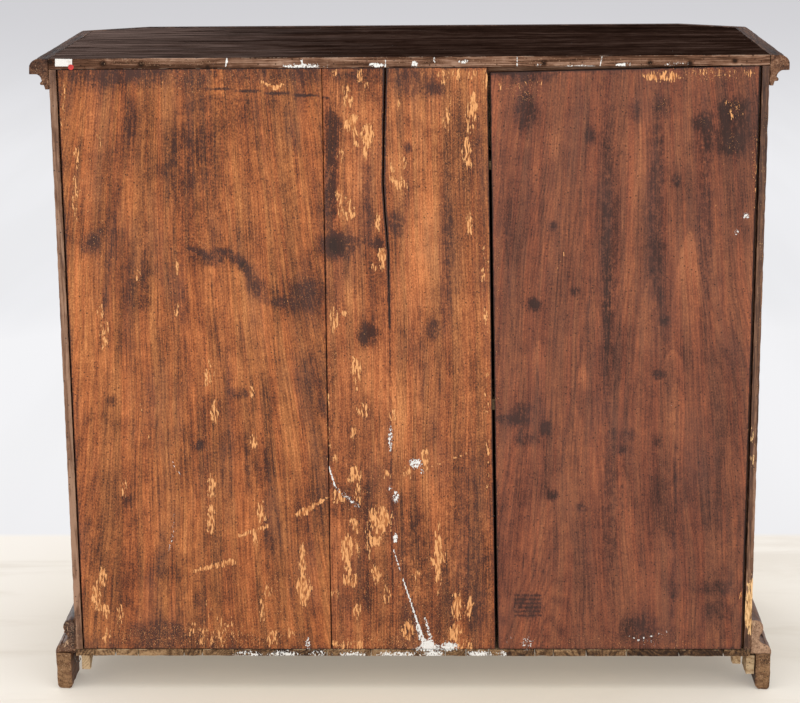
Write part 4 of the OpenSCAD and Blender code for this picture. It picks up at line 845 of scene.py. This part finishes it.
def painted(u, v, patches, strokes=(), pile_up=False, tongues=()):
    """The strength of a kind of mark at each point."""
    total = np.zeros(len(u))
    found = [(in_patch(u, v, patch), amount) for *patch, amount in patches]
    found += [(by_stroke(u, v, stroke), amount) for *stroke, amount in strokes]
    found += [(in_tongue(u, v, tongue), amount) for *tongue, amount in tongues]
    for mask, amount in found:
        if pile_up:
            total = total + mask * amount * (1 - total)
        else:
            total = np.maximum(total, mask * amount)
    return total


# Where each board's flame figure is centred, and how fast it spreads downwards
FLAME = {"boards_right": (0.36, 0.75), "boards_middle": (0.03, 0.15), "boards_left": (-0.33, 0.55)}
GRAIN_DRIFT = 11 * MM
# Marks reach this far below the back plane, and a board's rim gets painted shade over this width
MARKED_DEPTH = 4 * MM
RIM_SHADE = 2.6 * MM


def grain_lines(points, name):
    """A coordinate across the grain, whose level lines lean and wander as the board's fibres do."""
    middle, spread = FLAME[name]
    fall = CEILING_Z - points[:, 2]
    across = (points[:, 0] - middle) / (1 + spread * np.clip(fall, 0, 1))
    drift = [noise.noise(Vector((x * 5, z * 2.3, y))) + 0.3 * noise.noise(Vector((x * 19, z * 6, y)))
             for x, y, z in points]
    return across + GRAIN_DRIFT * np.array(drift)


def mark_features(mesh, name="", rim=None):
    """Writes worn, flecked, dark, light and painted places on what faces the back."""
    points = np.empty(len(mesh.vertices) * 3)
    mesh.vertices.foreach_get("co", points)
    points = points.reshape(-1, 3)
    u, v = picture_points(points)
    shown = points[:, 1] > BACK_Y - MARKED_DEPTH
    values = {
        "worn": painted(u, v, WORN_PATCHES, WORN_STROKES),
        "flecked": painted(u, v, FLECKED_PATCHES),
        "dark": painted(u, v, DARK_PATCHES, DARK_STROKES, pile_up=True),
        "light": painted(u, v, LIGHT_PATCHES, LIGHT_STROKES, tongues=TONGUES),
        "paint": painted(u, v, PAINT_PATCHES, PAINT_STROKES),
    }
    values = {key: value * shown for key, value in values.items()}
    # Painted shade: near each board's rim, in its joints and on the crack's lips the dark marks rise to
    # full strength
    if rim is not None:
        near = np.clip(1 - np.array(rim) / RIM_SHADE, 0, 1)
        values["dark"][:len(near)] = np.maximum(values["dark"][:len(near)], near)
        values["across"] = grain_lines(points, name)
    for key, value in values.items():
        layer = mesh.attributes.new(key, "FLOAT", "POINT")
        layer.data.foreach_set("value", value.astype(np.float32))


# Back boards

ROW = 3.6 * MM
COLUMN = 2.4 * MM
ROW_MARGIN = 3 * MM
OPEN_ARRIS = 1.9 * MM
TIGHT_ARRIS = 0.8 * MM
ARRIS = [0.0, 0.4 * MM, 1.0 * MM, OPEN_ARRIS]
# The tight joint shows less shadow than an open one, and less and less above this height
TIGHT_SHADE = 1.0 * MM
TIGHT_SEEN_Z = 0.82
TIGHT_FADE = 0.02
# In millimetres, how far the surface lies below the back plane, and how far it waves
MEAN_RELIEF = 0.75
BROAD_RELIEF = 0.35
FINE_RELIEF = 0.18
CHIP_START = 0.25
CHIP_DEPTH = 3.2 * MM
CHIP_SLOPE = 0.8
EDGE_WANDER = 0.35 * MM
# How far beside the crack the grid gives way to it, and the shade of its closed end
CRACK_PULL = 30 * MM
CRACK_CLEAR = 0.6
CRACK_END_SHADE = 1.4 * MM


def relief(x, z, seed):
    """Depth of the planed and dried surface below the back plane."""
    broad = noise.noise(Vector((x * 7, seed, z * 1.6)))
    fine = noise.noise(Vector((x * 45, seed + 5, z * 5)))
    return (MEAN_RELIEF + BROAD_RELIEF * broad + FINE_RELIEF * fine) * MM


def bite(along, edge_seed):
    """How far a board's arris is chipped away at a place along it."""
    rough = noise.noise(Vector((along * 60, edge_seed, 0)))
    rough += 0.6 * noise.noise(Vector((along * 190, edge_seed, 3)))
    return max(0.0, rough - CHIP_START) * CHIP_DEPTH


def board_rim(index, last_row, last_col):
    """The points round a board's grid: foot, one side, head with the crack's lips, and the other side."""
    rim = [index[(col, 0), 0] for col in range(last_col)]
    rim += [index[(last_col, 0), row] for row in range(last_row)]
    for col in range(last_col, 0, -1):
        rim.append(index[(col, 1), last_row])
        if index[(col, 0), last_row] != index[(col, 1), last_row]:
            slit = [row for row in range(last_row, 0, -1) if index[(col, 0), row] != index[(col, 1), row]]
            rim += [index[(col, 1), row] for row in slit[1:]]
            rim.append(index[(col, 0), slit[-1] - 1])
            rim += [index[(col, 0), row] for row in reversed(slit)]
    rim += [index[(0, 0), row] for row in range(last_row, 0, -1)]
    return rim


def back_board(name, left, right, foot, head, seed, tight_side=None, crack=None):
    """A board of the back as a fine grid on its rear face.

    left and right give the x of its edges at a height, and head gives its top at a share of its width.
    The tight side, 0 at left and 1 at right, is the one that meets its neighbour closely. Each column has
    two lips, 0 and 1, which part only at the crack.
    """
    width = right(foot) - left(foot)
    inner = spaced(0, 1, COLUMN / width)
    shares = [(a, 0) for a in ARRIS] + [(0, t) for t in inner] + [(-a, 1) for a in reversed(ARRIS)]
    if crack:
        crack_share, crack_x, crack_gap, crack_foot = crack
        clear = CRACK_CLEAR * COLUMN / width
        shares = [(offset, share) for offset, share in shares if abs(share - crack_share) > clear or offset]
        split = next(i for i, (offset, share) in enumerate(shares) if share > crack_share)
        shares.insert(split, (0, crack_share))
    rows = [foot + a for a in ARRIS] + spaced(foot + ROW_MARGIN, head(0) - ROW_MARGIN, ROW)
    rows += [head(0) - a for a in reversed(ARRIS)]
    top_z = rows[-1]
    points = []
    rim_gaps = []
    index = {}

    def place(x, z, col, row):
        side = 0 if x < (left(z) + right(z)) / 2 else 1
        near_side = min(x - left(z), right(z) - x)
        near_end = min(z - foot, head((x - left(z)) / (right(z) - left(z))) - z)
        radius = TIGHT_ARRIS if side == tight_side else OPEN_ARRIS
        depth = relief(x, z, seed)
        for near in (near_side, near_end):
            inside = radius - min(max(near, 0.0), radius)
            depth += radius - math.sqrt(max(radius * radius - inside * inside, 0))
        chip = bite(z, seed * 7 + side)
        depth += max(0.0, chip - near_side) * CHIP_SLOPE
        chip = bite(x, seed * 11 + (0 if z < (foot + top_z) / 2 else 1))
        depth += max(0.0, chip - near_end) * CHIP_SLOPE
        points.append((x, BACK_Y - depth, z))
        if side == tight_side:
            near_side += TIGHT_FADE * max(0.0, z - TIGHT_SEEN_Z) + TIGHT_SHADE
        rim_gaps.append(min(near_side, near_end))
        index[col, row] = len(points) - 1

    for row, z in enumerate(rows):
        for col, (offset, share) in enumerate(shares):
            level = z - (top_z - head(share)) * (z - foot) / (top_z - foot)
            x = left(level) + offset + (right(level) - left(level)) * share
            if crack:
                nominal = left(level) + (right(level) - left(level)) * crack_share
                gap = crack_gap(level)
                pull = max(0.0, 1 - abs(x - nominal) / CRACK_PULL)
                x += (crack_x(level) - nominal) * pull
                if col != split:
                    x += math.copysign(gap / 2, col - split) * pull
            if crack and col == split:
                place(x - gap / 2, level, (col, 0), row)
                # The crack's lips get full painted shade, its closed end a little less
                rim_gaps[-1] = 0 if gap else CRACK_END_SHADE
                if level > crack_foot:
                    place(x + gap / 2, level, (col, 1), row)
                    rim_gaps[-1] = 0
                else:
                    index[(col, 1), row] = index[(col, 0), row]
            else:
                place(x, level, (col, 0), row)
                index[(col, 1), row] = index[(col, 0), row]
    faces = []
    last_row = len(rows) - 1
    last_col = len(shares) - 1
    for row in range(last_row):
        for col in range(last_col):
            faces.append((index[(col, 1), row], index[(col, 1), row + 1],
                          index[(col + 1, 0), row + 1], index[(col + 1, 0), row]))
    rim = board_rim(index, last_row, last_col)
    # The crack doesn't reach the inner face, where its two lips meet in one line
    closed = {}
    if crack:
        for row in range(len(rows)):
            halves = [index[(split, side), row] for side in (0, 1)]
            closed.update({i: (points[halves[0]][0] + points[halves[1]][0]) / 2 for i in halves})
    first = len(points)
    points += [(closed.get(i, points[i][0]), BOARDS_Y, points[i][2]) for i in rim]
    for i in range(len(rim)):
        k = (i + 1) % len(rim)
        faces.append((rim[i], rim[k], first + k, first + i))
    faces.append(tuple(range(first, first + len(rim))))
    mesh = bpy.data.meshes.new(name)
    mesh.from_pydata(points, [], faces)
    tidy = bmesh.new()
    tidy.from_mesh(mesh)
    bmesh.ops.recalc_face_normals(tidy, faces=tidy.faces[:])
    tidy.to_mesh(mesh)
    tidy.free()
    mesh.update()
    mark_features(mesh, name, rim_gaps)
    piece = new_object(name, mesh)
    piece.data.shade_smooth()
    piece.data.set_sharp_from_angle(angle=BOARD_SHARP_ANGLE)
    return piece


def wavy(x, seed):
    """An edge that runs nearly straight at x."""
    return lambda z: x + EDGE_WANDER * noise.noise(Vector((z * 6, seed, 1)))


def slanted(x_foot, x_head, seed):
    """A nearly straight edge from x_foot to x_head."""
    def at(z):
        t = (z - FLOOR_Z) / (CEILING_Z - FLOOR_Z)
        return x_foot + (x_head - x_foot) * t + EDGE_WANDER * noise.noise(Vector((z * 6, seed, 1)))
    return at


RIGHT_LOW, RIGHT_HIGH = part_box("back_board_right")
MIDDLE_LOW, MIDDLE_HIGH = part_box("back_board_middle")
LEFT_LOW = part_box("back_board_left")[0]
MIDDLE_HEAD_W = 259 * MM
MIDDLE_HEAD_X = MIDDLE_HIGH.x - MIDDLE_HEAD_W
OPEN_JOINT = 4 * MM
SLOPE = 8.5 * MM
CRACK_LENGTH = 420 * MM
CRACK_FOOT = CEILING_Z - CRACK_LENGTH
# The crack opens to its full width over the taper, by the power of its bulge
CRACK_WIDTH = 3.4 * MM
CRACK_TAPER = 0.34
CRACK_BULGE = 0.8
CRACK_WANDER = 0.6 * MM
# The crack's course in picture points, from its foot up
CRACK_COURSE = [(390, 340), (389, 290), (388, 250), (385, 215), (383, 180), (384, 120), (385.5, 60)]
CRACK_COURSE = [rear_point(u, v) for u, v in CRACK_COURSE]
CRACK_X = CRACK_COURSE[-1][0]


def crack_line(z):
    """x of the crack in the middle board."""
    xs, zs = zip(*CRACK_COURSE)
    return float(np.interp(z, zs, xs)) + CRACK_WANDER * noise.noise(Vector((z * 30, 4, 0)))


def crack_gap(z):
    """Width of the crack, which opens from its foot over the length of its taper."""
    return CRACK_WIDTH * max(0.0, min(1.0, (z - CRACK_FOOT) / CRACK_TAPER)) ** CRACK_BULGE


def build_back():
    """The three boards of the back."""
    right = back_board("boards_right", wavy(RIGHT_LOW.x, 1), wavy(RIGHT_HIGH.x, 2), FLOOR_Z,
                       lambda t: CEILING_Z, 1, tight_side=0)
    crack_share = (CRACK_X - MIDDLE_LOW.x) / (MIDDLE_HIGH.x - MIDDLE_LOW.x)
    middle = back_board("boards_middle", slanted(MIDDLE_LOW.x, MIDDLE_HEAD_X, 3), wavy(MIDDLE_HIGH.x, 4),
                        FLOOR_Z, lambda t: CEILING_Z, 2, tight_side=1,
                        crack=(crack_share, crack_line, crack_gap, CRACK_FOOT))
    left = back_board("boards_left", wavy(LEFT_LOW.x, 5),
                      slanted(MIDDLE_LOW.x - OPEN_JOINT, MIDDLE_HEAD_X - OPEN_JOINT, 6), FLOOR_Z,
                      lambda t: CEILING_Z - SLOPE * t, 3)
    right_wood = stained("back_right", ORANGE_TONES, 11, purple=0.30)
    middle_wood = stained("back_middle", MIDDLE_TONES, 12, purple=0.26, contrast=0.95)
    left_wood = stained("back_left", PURPLE_TONES, 13, purple=0.28, contrast=0.70)
    inner_wood = wood("bare_back", INNER_TONES, "Z", 14, (0.6, 0.8), 0.2, line_depth=0.22)
    boards = ((right, "back_board_right", right_wood), (middle, "back_board_middle", middle_wood),
              (left, "back_board_left", left_wood))
    for board, node, material in boards:
        finish_piece(board, node, material, [node])
        board.data.materials.append(inner_wood)
        inner_face = max(board.data.polygons, key=lambda face: len(face.vertices))
        inner_face.material_index = 1


build_back()

# Every other piece: a worn copy of its CAD solid

CUSTOM = ["back_board_left", "back_board_middle", "back_board_right"]
IRON_BEVEL = 0.25 * MM
WOOD_BEVEL = 0.8 * MM


def cuts_of(node, low, high):
    """Where a piece is cut up for wear: fine by the back plane, coarse elsewhere."""
    if node in ("side_left", "side_right"):
        return [(Z, spaced(low.z, high.z, 6 * MM)), (X, spaced(low.x, high.x, 3 * MM)),
                (Y, spaced(BACK_Y - 40 * MM, BACK_Y, 5 * MM))]
    if node == "top_board":
        return [(X, spaced(low.x, high.x, 2 * MM)), (Z, spaced(low.z, high.z, 2 * MM)),
                (Y, [BACK_Y - 8 * MM, BACK_Y - 4 * MM] + spaced(low.y, BACK_Y - 12 * MM, 80 * MM))]
    if node == "floor_boards":
        return [(X, spaced(low.x, high.x, 6 * MM)), (Z, spaced(low.z, high.z, 3 * MM)),
                (Y, spaced(BACK_Y - 10 * MM, BACK_Y, 3 * MM))]
    if node in ("rear_feet", "glue_blocks"):
        ends = spaced(low.x, low.x + 70 * MM, 5 * MM) + spaced(high.x - 70 * MM, high.x, 5 * MM)
        return [(Y, spaced(low.y, high.y, 6 * MM)), (Z, spaced(low.z, high.z, 6 * MM)), (X, ends)]
    if node in ("cornice_left", "cornice_right", "plinth_left", "plinth_right"):
        rear = BACK_Y - 50 * MM
        return [(Y, spaced(low.y, rear, 25 * MM) + spaced(rear, BACK_Y, 4 * MM)),
                (X, spaced(low.x, high.x, 4 * MM)), (Z, spaced(low.z, high.z, 4 * MM))]
    return []


def build_copies():
    for seed, node in enumerate(sorted(frame["nodes"])):
        if node in CUSTOM:
            continue
        low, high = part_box(node)
        material = material_for(node, seed)
        bevel = IRON_BEVEL if kind_of(node) in IRON_KINDS else WOOD_BEVEL
        worn_copy(node, material, bevel, cuts_of(node, low, high), WEAR_DEPTH.get(node, 0) * MM, seed)


build_copies()

# Small things on the back: a bare paper label, a red dot and a bent nail

LABEL_TONE = (0.80, 0.79, 0.76)
LABEL_STAIN = (0.60, 0.52, 0.45)
DOT_TONE = (0.62, 0.055, 0.050)
DOT_STAIN = (0.42, 0.05, 0.05)
# The label's left, right, top and bottom and the dot's middle, in picture points
LABEL = (55, 72, 58.8, 66.4)
DOT = (70.8, 67.2)
DOT_RADIUS = 4.4 * MM
DOT_CORNERS = 24
LABEL_LEAN = 0.3
# How thick the sheets are, how far their rims curl up, and how far they lie inside the back plane
SHEET_THICK = 0.3 * MM
SHEET_CURL = 0.05 * MM
SHEET_RINGS = [1.0, 0.98, 0.85, 0.6, 0.3]
LABEL_BELOW = 0.12 * MM
DOT_BELOW = 0.03 * MM
# The bent nail's course in millimetres, from the floor's underside beside the right rear foot
NAIL_COURSE = [(-3, -14, 0), (-4, -12, -8), (-7, -11, -14), (-11, -12, -15), (-13, -13, -11),
               (-12, -14, -8)]
NAIL_RADIUS = 0.9 * MM
NAIL_HEAD = 0.55
NAIL_POINT = 0.3
NAIL_SIDES = 8


def paper(name, tone, stain):
    """Old paper with a stain in patches."""
    s = Shader(name)
    fibres = s.noise(s.moved(s.coords, scale=(900, 900, 400)), detail=3)
    blot = s.noise(s.coords, scale=130, detail=4)
    colour = s.mix(s.step(blot, 0.52, 0.68, 0.0, 0.6), tone, stain)
    rough = s.step(fibres, 0.3, 0.7, 0.7, 0.85)
    return s.surface(colour, rough, s.bump(fibres, PAPER_RELIEF), Specular_IOR_Level=0.2)


def flat_sheet(name, outline, front_y, material):
    """A thin sheet with a slightly curled rim, from the x and z of its outline round its middle."""
    centre = np.mean(outline, axis=0)
    points = []
    for ring in SHEET_RINGS:
        curl = SHEET_CURL * (1 - ring)
        for x, z in outline:
            points.append((centre[0] + (x - centre[0]) * ring, front_y - curl,
                           centre[1] + (z - centre[1]) * ring))
    count = len(outline)
    faces = []
    for start in range(0, (len(SHEET_RINGS) - 1) * count, count):
        faces += [(start + i, start + (i + 1) % count, start + count + (i + 1) % count, start + count + i)
                  for i in range(count)]
    rear = len(points)
    faces.append(tuple(range(rear - count, rear)))
    points += [(x, front_y - SHEET_THICK, z) for x, z in outline]
    faces += [(i, rear + i, rear + (i + 1) % count, (i + 1) % count) for i in range(count)]
    faces.append(tuple(range(rear + count - 1, rear - 1, -1)))
    mesh = bpy.data.meshes.new(name)
    mesh.from_pydata(points, [], faces)
    solid = bmesh.new()
    solid.from_mesh(mesh)
    bmesh.ops.recalc_face_normals(solid, faces=solid.faces[:])
    solid.to_mesh(mesh)
    solid.free()
    return finish_piece(new_object(name, mesh), "top_board", material)


def bent_shank(name, path, radius, node, material):
    """A nail's round shank along a path, narrower at its head and point."""
    sides = NAIL_SIDES
    points = []
    faces = []
    shape = [NAIL_HEAD] + [1.0] * (len(path) - 2) + [NAIL_POINT]
    for i, place in enumerate(path):
        run = (path[min(i + 1, len(path) - 1)] - path[max(i - 1, 0)]).normalized()
        side = run.orthogonal().normalized()
        other = run.cross(side)
        for k in range(sides):
            angle = 2 * math.pi * k / sides
            points.append(place + radius * shape[i] * (math.cos(angle) * side + math.sin(angle) * other))
    for i in range(len(path) - 1):
        for k in range(sides):
            n = (k + 1) % sides
            faces.append((i * sides + k, i * sides + n, (i + 1) * sides + n, (i + 1) * sides + k))
    faces.append(tuple(range(sides - 1, -1, -1)))
    faces.append(tuple(range((len(path) - 1) * sides, len(path) * sides)))
    mesh = bpy.data.meshes.new(name)
    mesh.from_pydata(points, [], faces)
    mesh.shade_smooth()
    return finish_piece(new_object(name, mesh), node, material)


def build_small_things():
    """The label, the dot and the nail."""
    left, right, top, bottom = LABEL
    corners = ((left, bottom), (left, top), (right, top + LABEL_LEAN), (right, bottom))
    corners = [rear_point(u, v) for u, v in corners]
    outline = []
    for i, corner in enumerate(corners):
        after = corners[(i + 1) % len(corners)]
        outline += [(corner[0] + (after[0] - corner[0]) * t, corner[1] + (after[1] - corner[1]) * t)
                    for t in (0, 0.25, 0.5, 0.75)]
    flat_sheet("label", outline, BACK_Y - LABEL_BELOW, paper("bare_label", LABEL_TONE, LABEL_STAIN))
    x, z = rear_point(*DOT)
    angles = [2 * math.pi * i / DOT_CORNERS for i in range(DOT_CORNERS)]
    ring = [(x + DOT_RADIUS * math.cos(angle), z + DOT_RADIUS * math.sin(angle)) for angle in angles]
    flat_sheet("dot", ring, BACK_Y - DOT_BELOW, paper("red_dot", DOT_TONE, DOT_STAIN))
    start = Vector((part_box("rear_feet")[1].x - FOOT_THICK, BACK_Y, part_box("floor_boards")[0].z))
    nail = [start + MM * Vector(step) for step in NAIL_COURSE]
    bent_shank("bent_nail", nail, NAIL_RADIUS, "floor_boards", iron("bright_nail", NAIL_TONE, NAIL_RUST))


build_small_things()

# Floor, backdrop, lights and camera

# What the picture shows of the floor and the cloth, and the cloth's own colour under the lamps
FLOOR_TONE = (0.925, 0.880, 0.820)
VEIN_TONE = (0.79, 0.735, 0.665)
# Painted shade with warm bounce light for the floor beneath the piece
UNDER_SHADE_TONE = (0.87, 0.785, 0.65)
CLOTH_TONE = (0.83, 0.83, 0.85)
# Painted light of the folds on the flat cloth
FOLD_TONE = (0.91, 0.91, 0.94)
CLOTH_COLOUR = (0.90, 0.90, 0.92)
# Painted shade of the far cloth
FAR_TONE = (0.64, 0.635, 0.66)
SURROUND_TONE = (1.0, 0.99, 0.97)
SURROUND_POWER = 0.84
FLOOR_REACH = 25
# The cloth begins beyond this line. The far tone, painted shade that greys the cloth far off, comes in with
# the distance plus this reach.
HEM_Y = -0.53
FADE_REACH = 3.665
# How much of the floor and of the cloth is shown in its own tone rather than by the light on it
FLOOR_GLOW = 0.28
CLOTH_GLOW = 0.72


def build_stage():
    """A pale floor that turns into a white cloth beyond the piece."""
    s = Shader("pale_floor")
    place = s.add("ShaderNodeSeparateXYZ")
    s.feed(place.inputs[0], s.coords)
    away = s.add("ShaderNodeVectorMath", operation="LENGTH")
    s.feed(away.inputs[0], s.coords)
    distance = away.outputs["Value"]
    near = s.step(distance, 1.2, 2.6, 1.0, 0.0)
    veins = s.noise(s.moved(s.coords, scale=(1.6, 7, 1)), detail=6, roughness=0.62, distortion=0.6)
    floor = s.mix(s.math("MULTIPLY", s.step(veins, 0.46, 0.66, 0.0, 0.7), near), FLOOR_TONE, VEIN_TONE)
    # Painted shade with warm bounce light, strongest beneath the piece and fading outwards
    under = s.step(distance, 0.30, 0.95, 0.85, 0.0)
    floor = s.mix(under, floor, UNDER_SHADE_TONE)
    # Painted light and shade of folds on the flat cloth
    folds = s.noise(s.moved(s.coords, scale=(2.6, 0.25, 1)), detail=3, roughness=0.5)
    cloth = s.mix(s.step(folds, 0.40, 0.62, 0.0, 0.3), CLOTH_TONE, FOLD_TONE)
    on_cloth = s.step(place.outputs[1], HEM_Y - 0.02, HEM_Y + 0.015, 1.0, 0.0)
    # Painted shade: the shown tone greys towards the far tone with distance
    nearness = s.math("DIVIDE", 1.0, s.math("ADD", distance, FADE_REACH))
    shown = s.mix(s.step(nearness, 0.055, 0.115), FAR_TONE, s.mix(on_cloth, floor, cloth))
    diffuse = s.add("ShaderNodeBsdfDiffuse")
    s.feed(diffuse.inputs["Color"], s.mix(on_cloth, floor, CLOTH_COLOUR))
    glow = s.add("ShaderNodeEmission")
    s.feed(glow.inputs["Color"], shown)
    rays = s.add("ShaderNodeLightPath")
    seen = s.math("MAXIMUM", rays.outputs["Is Camera Ray"], rays.outputs["Is Glossy Ray"])
    seen = s.math("MAXIMUM", seen, rays.outputs["Is Transmission Ray"])
    share = s.math("MAXIMUM", s.step(on_cloth, 0, 1, FLOOR_GLOW, CLOTH_GLOW), s.step(distance, 1.6, 3.0))
    blend = s.add("ShaderNodeMixShader")
    s.feed(blend.inputs[0], s.math("MULTIPLY", seen, share))
    s.tree.links.new(diffuse.outputs[0], blend.inputs[1])
    s.tree.links.new(glow.outputs[0], blend.inputs[2])
    output = s.add("ShaderNodeOutputMaterial")
    s.tree.links.new(blend.outputs[0], output.inputs["Surface"])
    far = FLOOR_REACH
    mesh = bpy.data.meshes.new("floor")
    mesh.from_pydata([(-far, -far, 0), (far, -far, 0), (far, far, 0), (-far, far, 0)], [], [(0, 1, 2, 3)])
    mesh.materials.append(s.material)
    new_object("floor", mesh)


# Each lamp's name, place, target, size and power
LAMPS = [
    ("overhead", (0, 0.3, 4.2), (0, 0, 0), (3.5, 3.5), 62),
    ("back_low", (1.1, 6.2, 1.0), (0, 0, 0.2), (5.4, 1.3), 62),
    ("back_key", (-4.0, 5.4, 3.9), (0, 0, 0.5), (2.9, 2.9), 46),
    ("front_low", (1.1, -6.2, 1.0), (0, 0, 0.3), (5.4, 1.3), 40),
    ("front_key", (4.0, -5.6, 3.9), (0, 0, 0.5), (2.9, 2.9), 56),
]


def soft_light(name, place, target, size, power):
    """A lamp like a wide soft box that the camera doesn't see."""
    light = bpy.data.lights.new(name, "AREA")
    light.shape = "RECTANGLE"
    light.size = size[0]
    light.size_y = size[1]
    light.energy = power
    lamp = bpy.data.objects.new(name, light)
    bpy.context.scene.collection.objects.link(lamp)
    lamp.location = place
    lamp.rotation_mode = "QUATERNION"
    lamp.rotation_quaternion = (Vector(target) - Vector(place)).to_track_quat("-Z", "Y")
    lamp.visible_camera = False


def build_lights():
    """An even white surround with soft lamps above and low on each side."""
    world = bpy.data.worlds.new("studio")
    world.use_nodes = True
    tree = world.node_tree
    light = tree.nodes["Background"]
    light.inputs["Color"].default_value = (*SURROUND_TONE, 1)
    light.inputs["Strength"].default_value = SURROUND_POWER
    # Beyond the floor the background shows the far tone, the same painted shade of the far cloth
    backdrop = tree.nodes.new("ShaderNodeBackground")
    backdrop.inputs["Color"].default_value = (*FAR_TONE, 1)
    rays = tree.nodes.new("ShaderNodeLightPath")
    blend = tree.nodes.new("ShaderNodeMixShader")
    seen = rays.outputs["Is Camera Ray"]
    for kind in ("Is Glossy Ray", "Is Transmission Ray"):
        either = tree.nodes.new("ShaderNodeMath")
        either.operation = "MAXIMUM"
        tree.links.new(seen, either.inputs[0])
        tree.links.new(rays.outputs[kind], either.inputs[1])
        seen = either.outputs[0]
    tree.links.new(seen, blend.inputs[0])
    tree.links.new(light.outputs[0], blend.inputs[1])
    tree.links.new(backdrop.outputs[0], blend.inputs[2])
    tree.links.new(blend.outputs[0], tree.nodes["World Output"].inputs["Surface"])
    bpy.context.scene.world = world
    for lamp in LAMPS:
        soft_light(*lamp)


def build_camera():
    """The camera that took the photograph."""
    camera = bpy.data.cameras.new("photo_camera")
    camera.sensor_width = SENSOR_W
    camera.lens = camera.sensor_width * FOCAL / PICTURE_W
    camera.clip_start = 0.05
    camera.clip_end = 100
    holder = bpy.data.objects.new("photo_camera", camera)
    bpy.context.scene.collection.objects.link(holder)
    turn = Matrix((RIGHT, UP, -FORWARD)).transposed().to_4x4()
    holder.matrix_world = Matrix.Translation(EYE) @ turn
    bpy.context.scene.camera = holder


build_stage()
build_lights()
build_camera()
bpy.context.scene.view_settings.view_transform = "Standard"
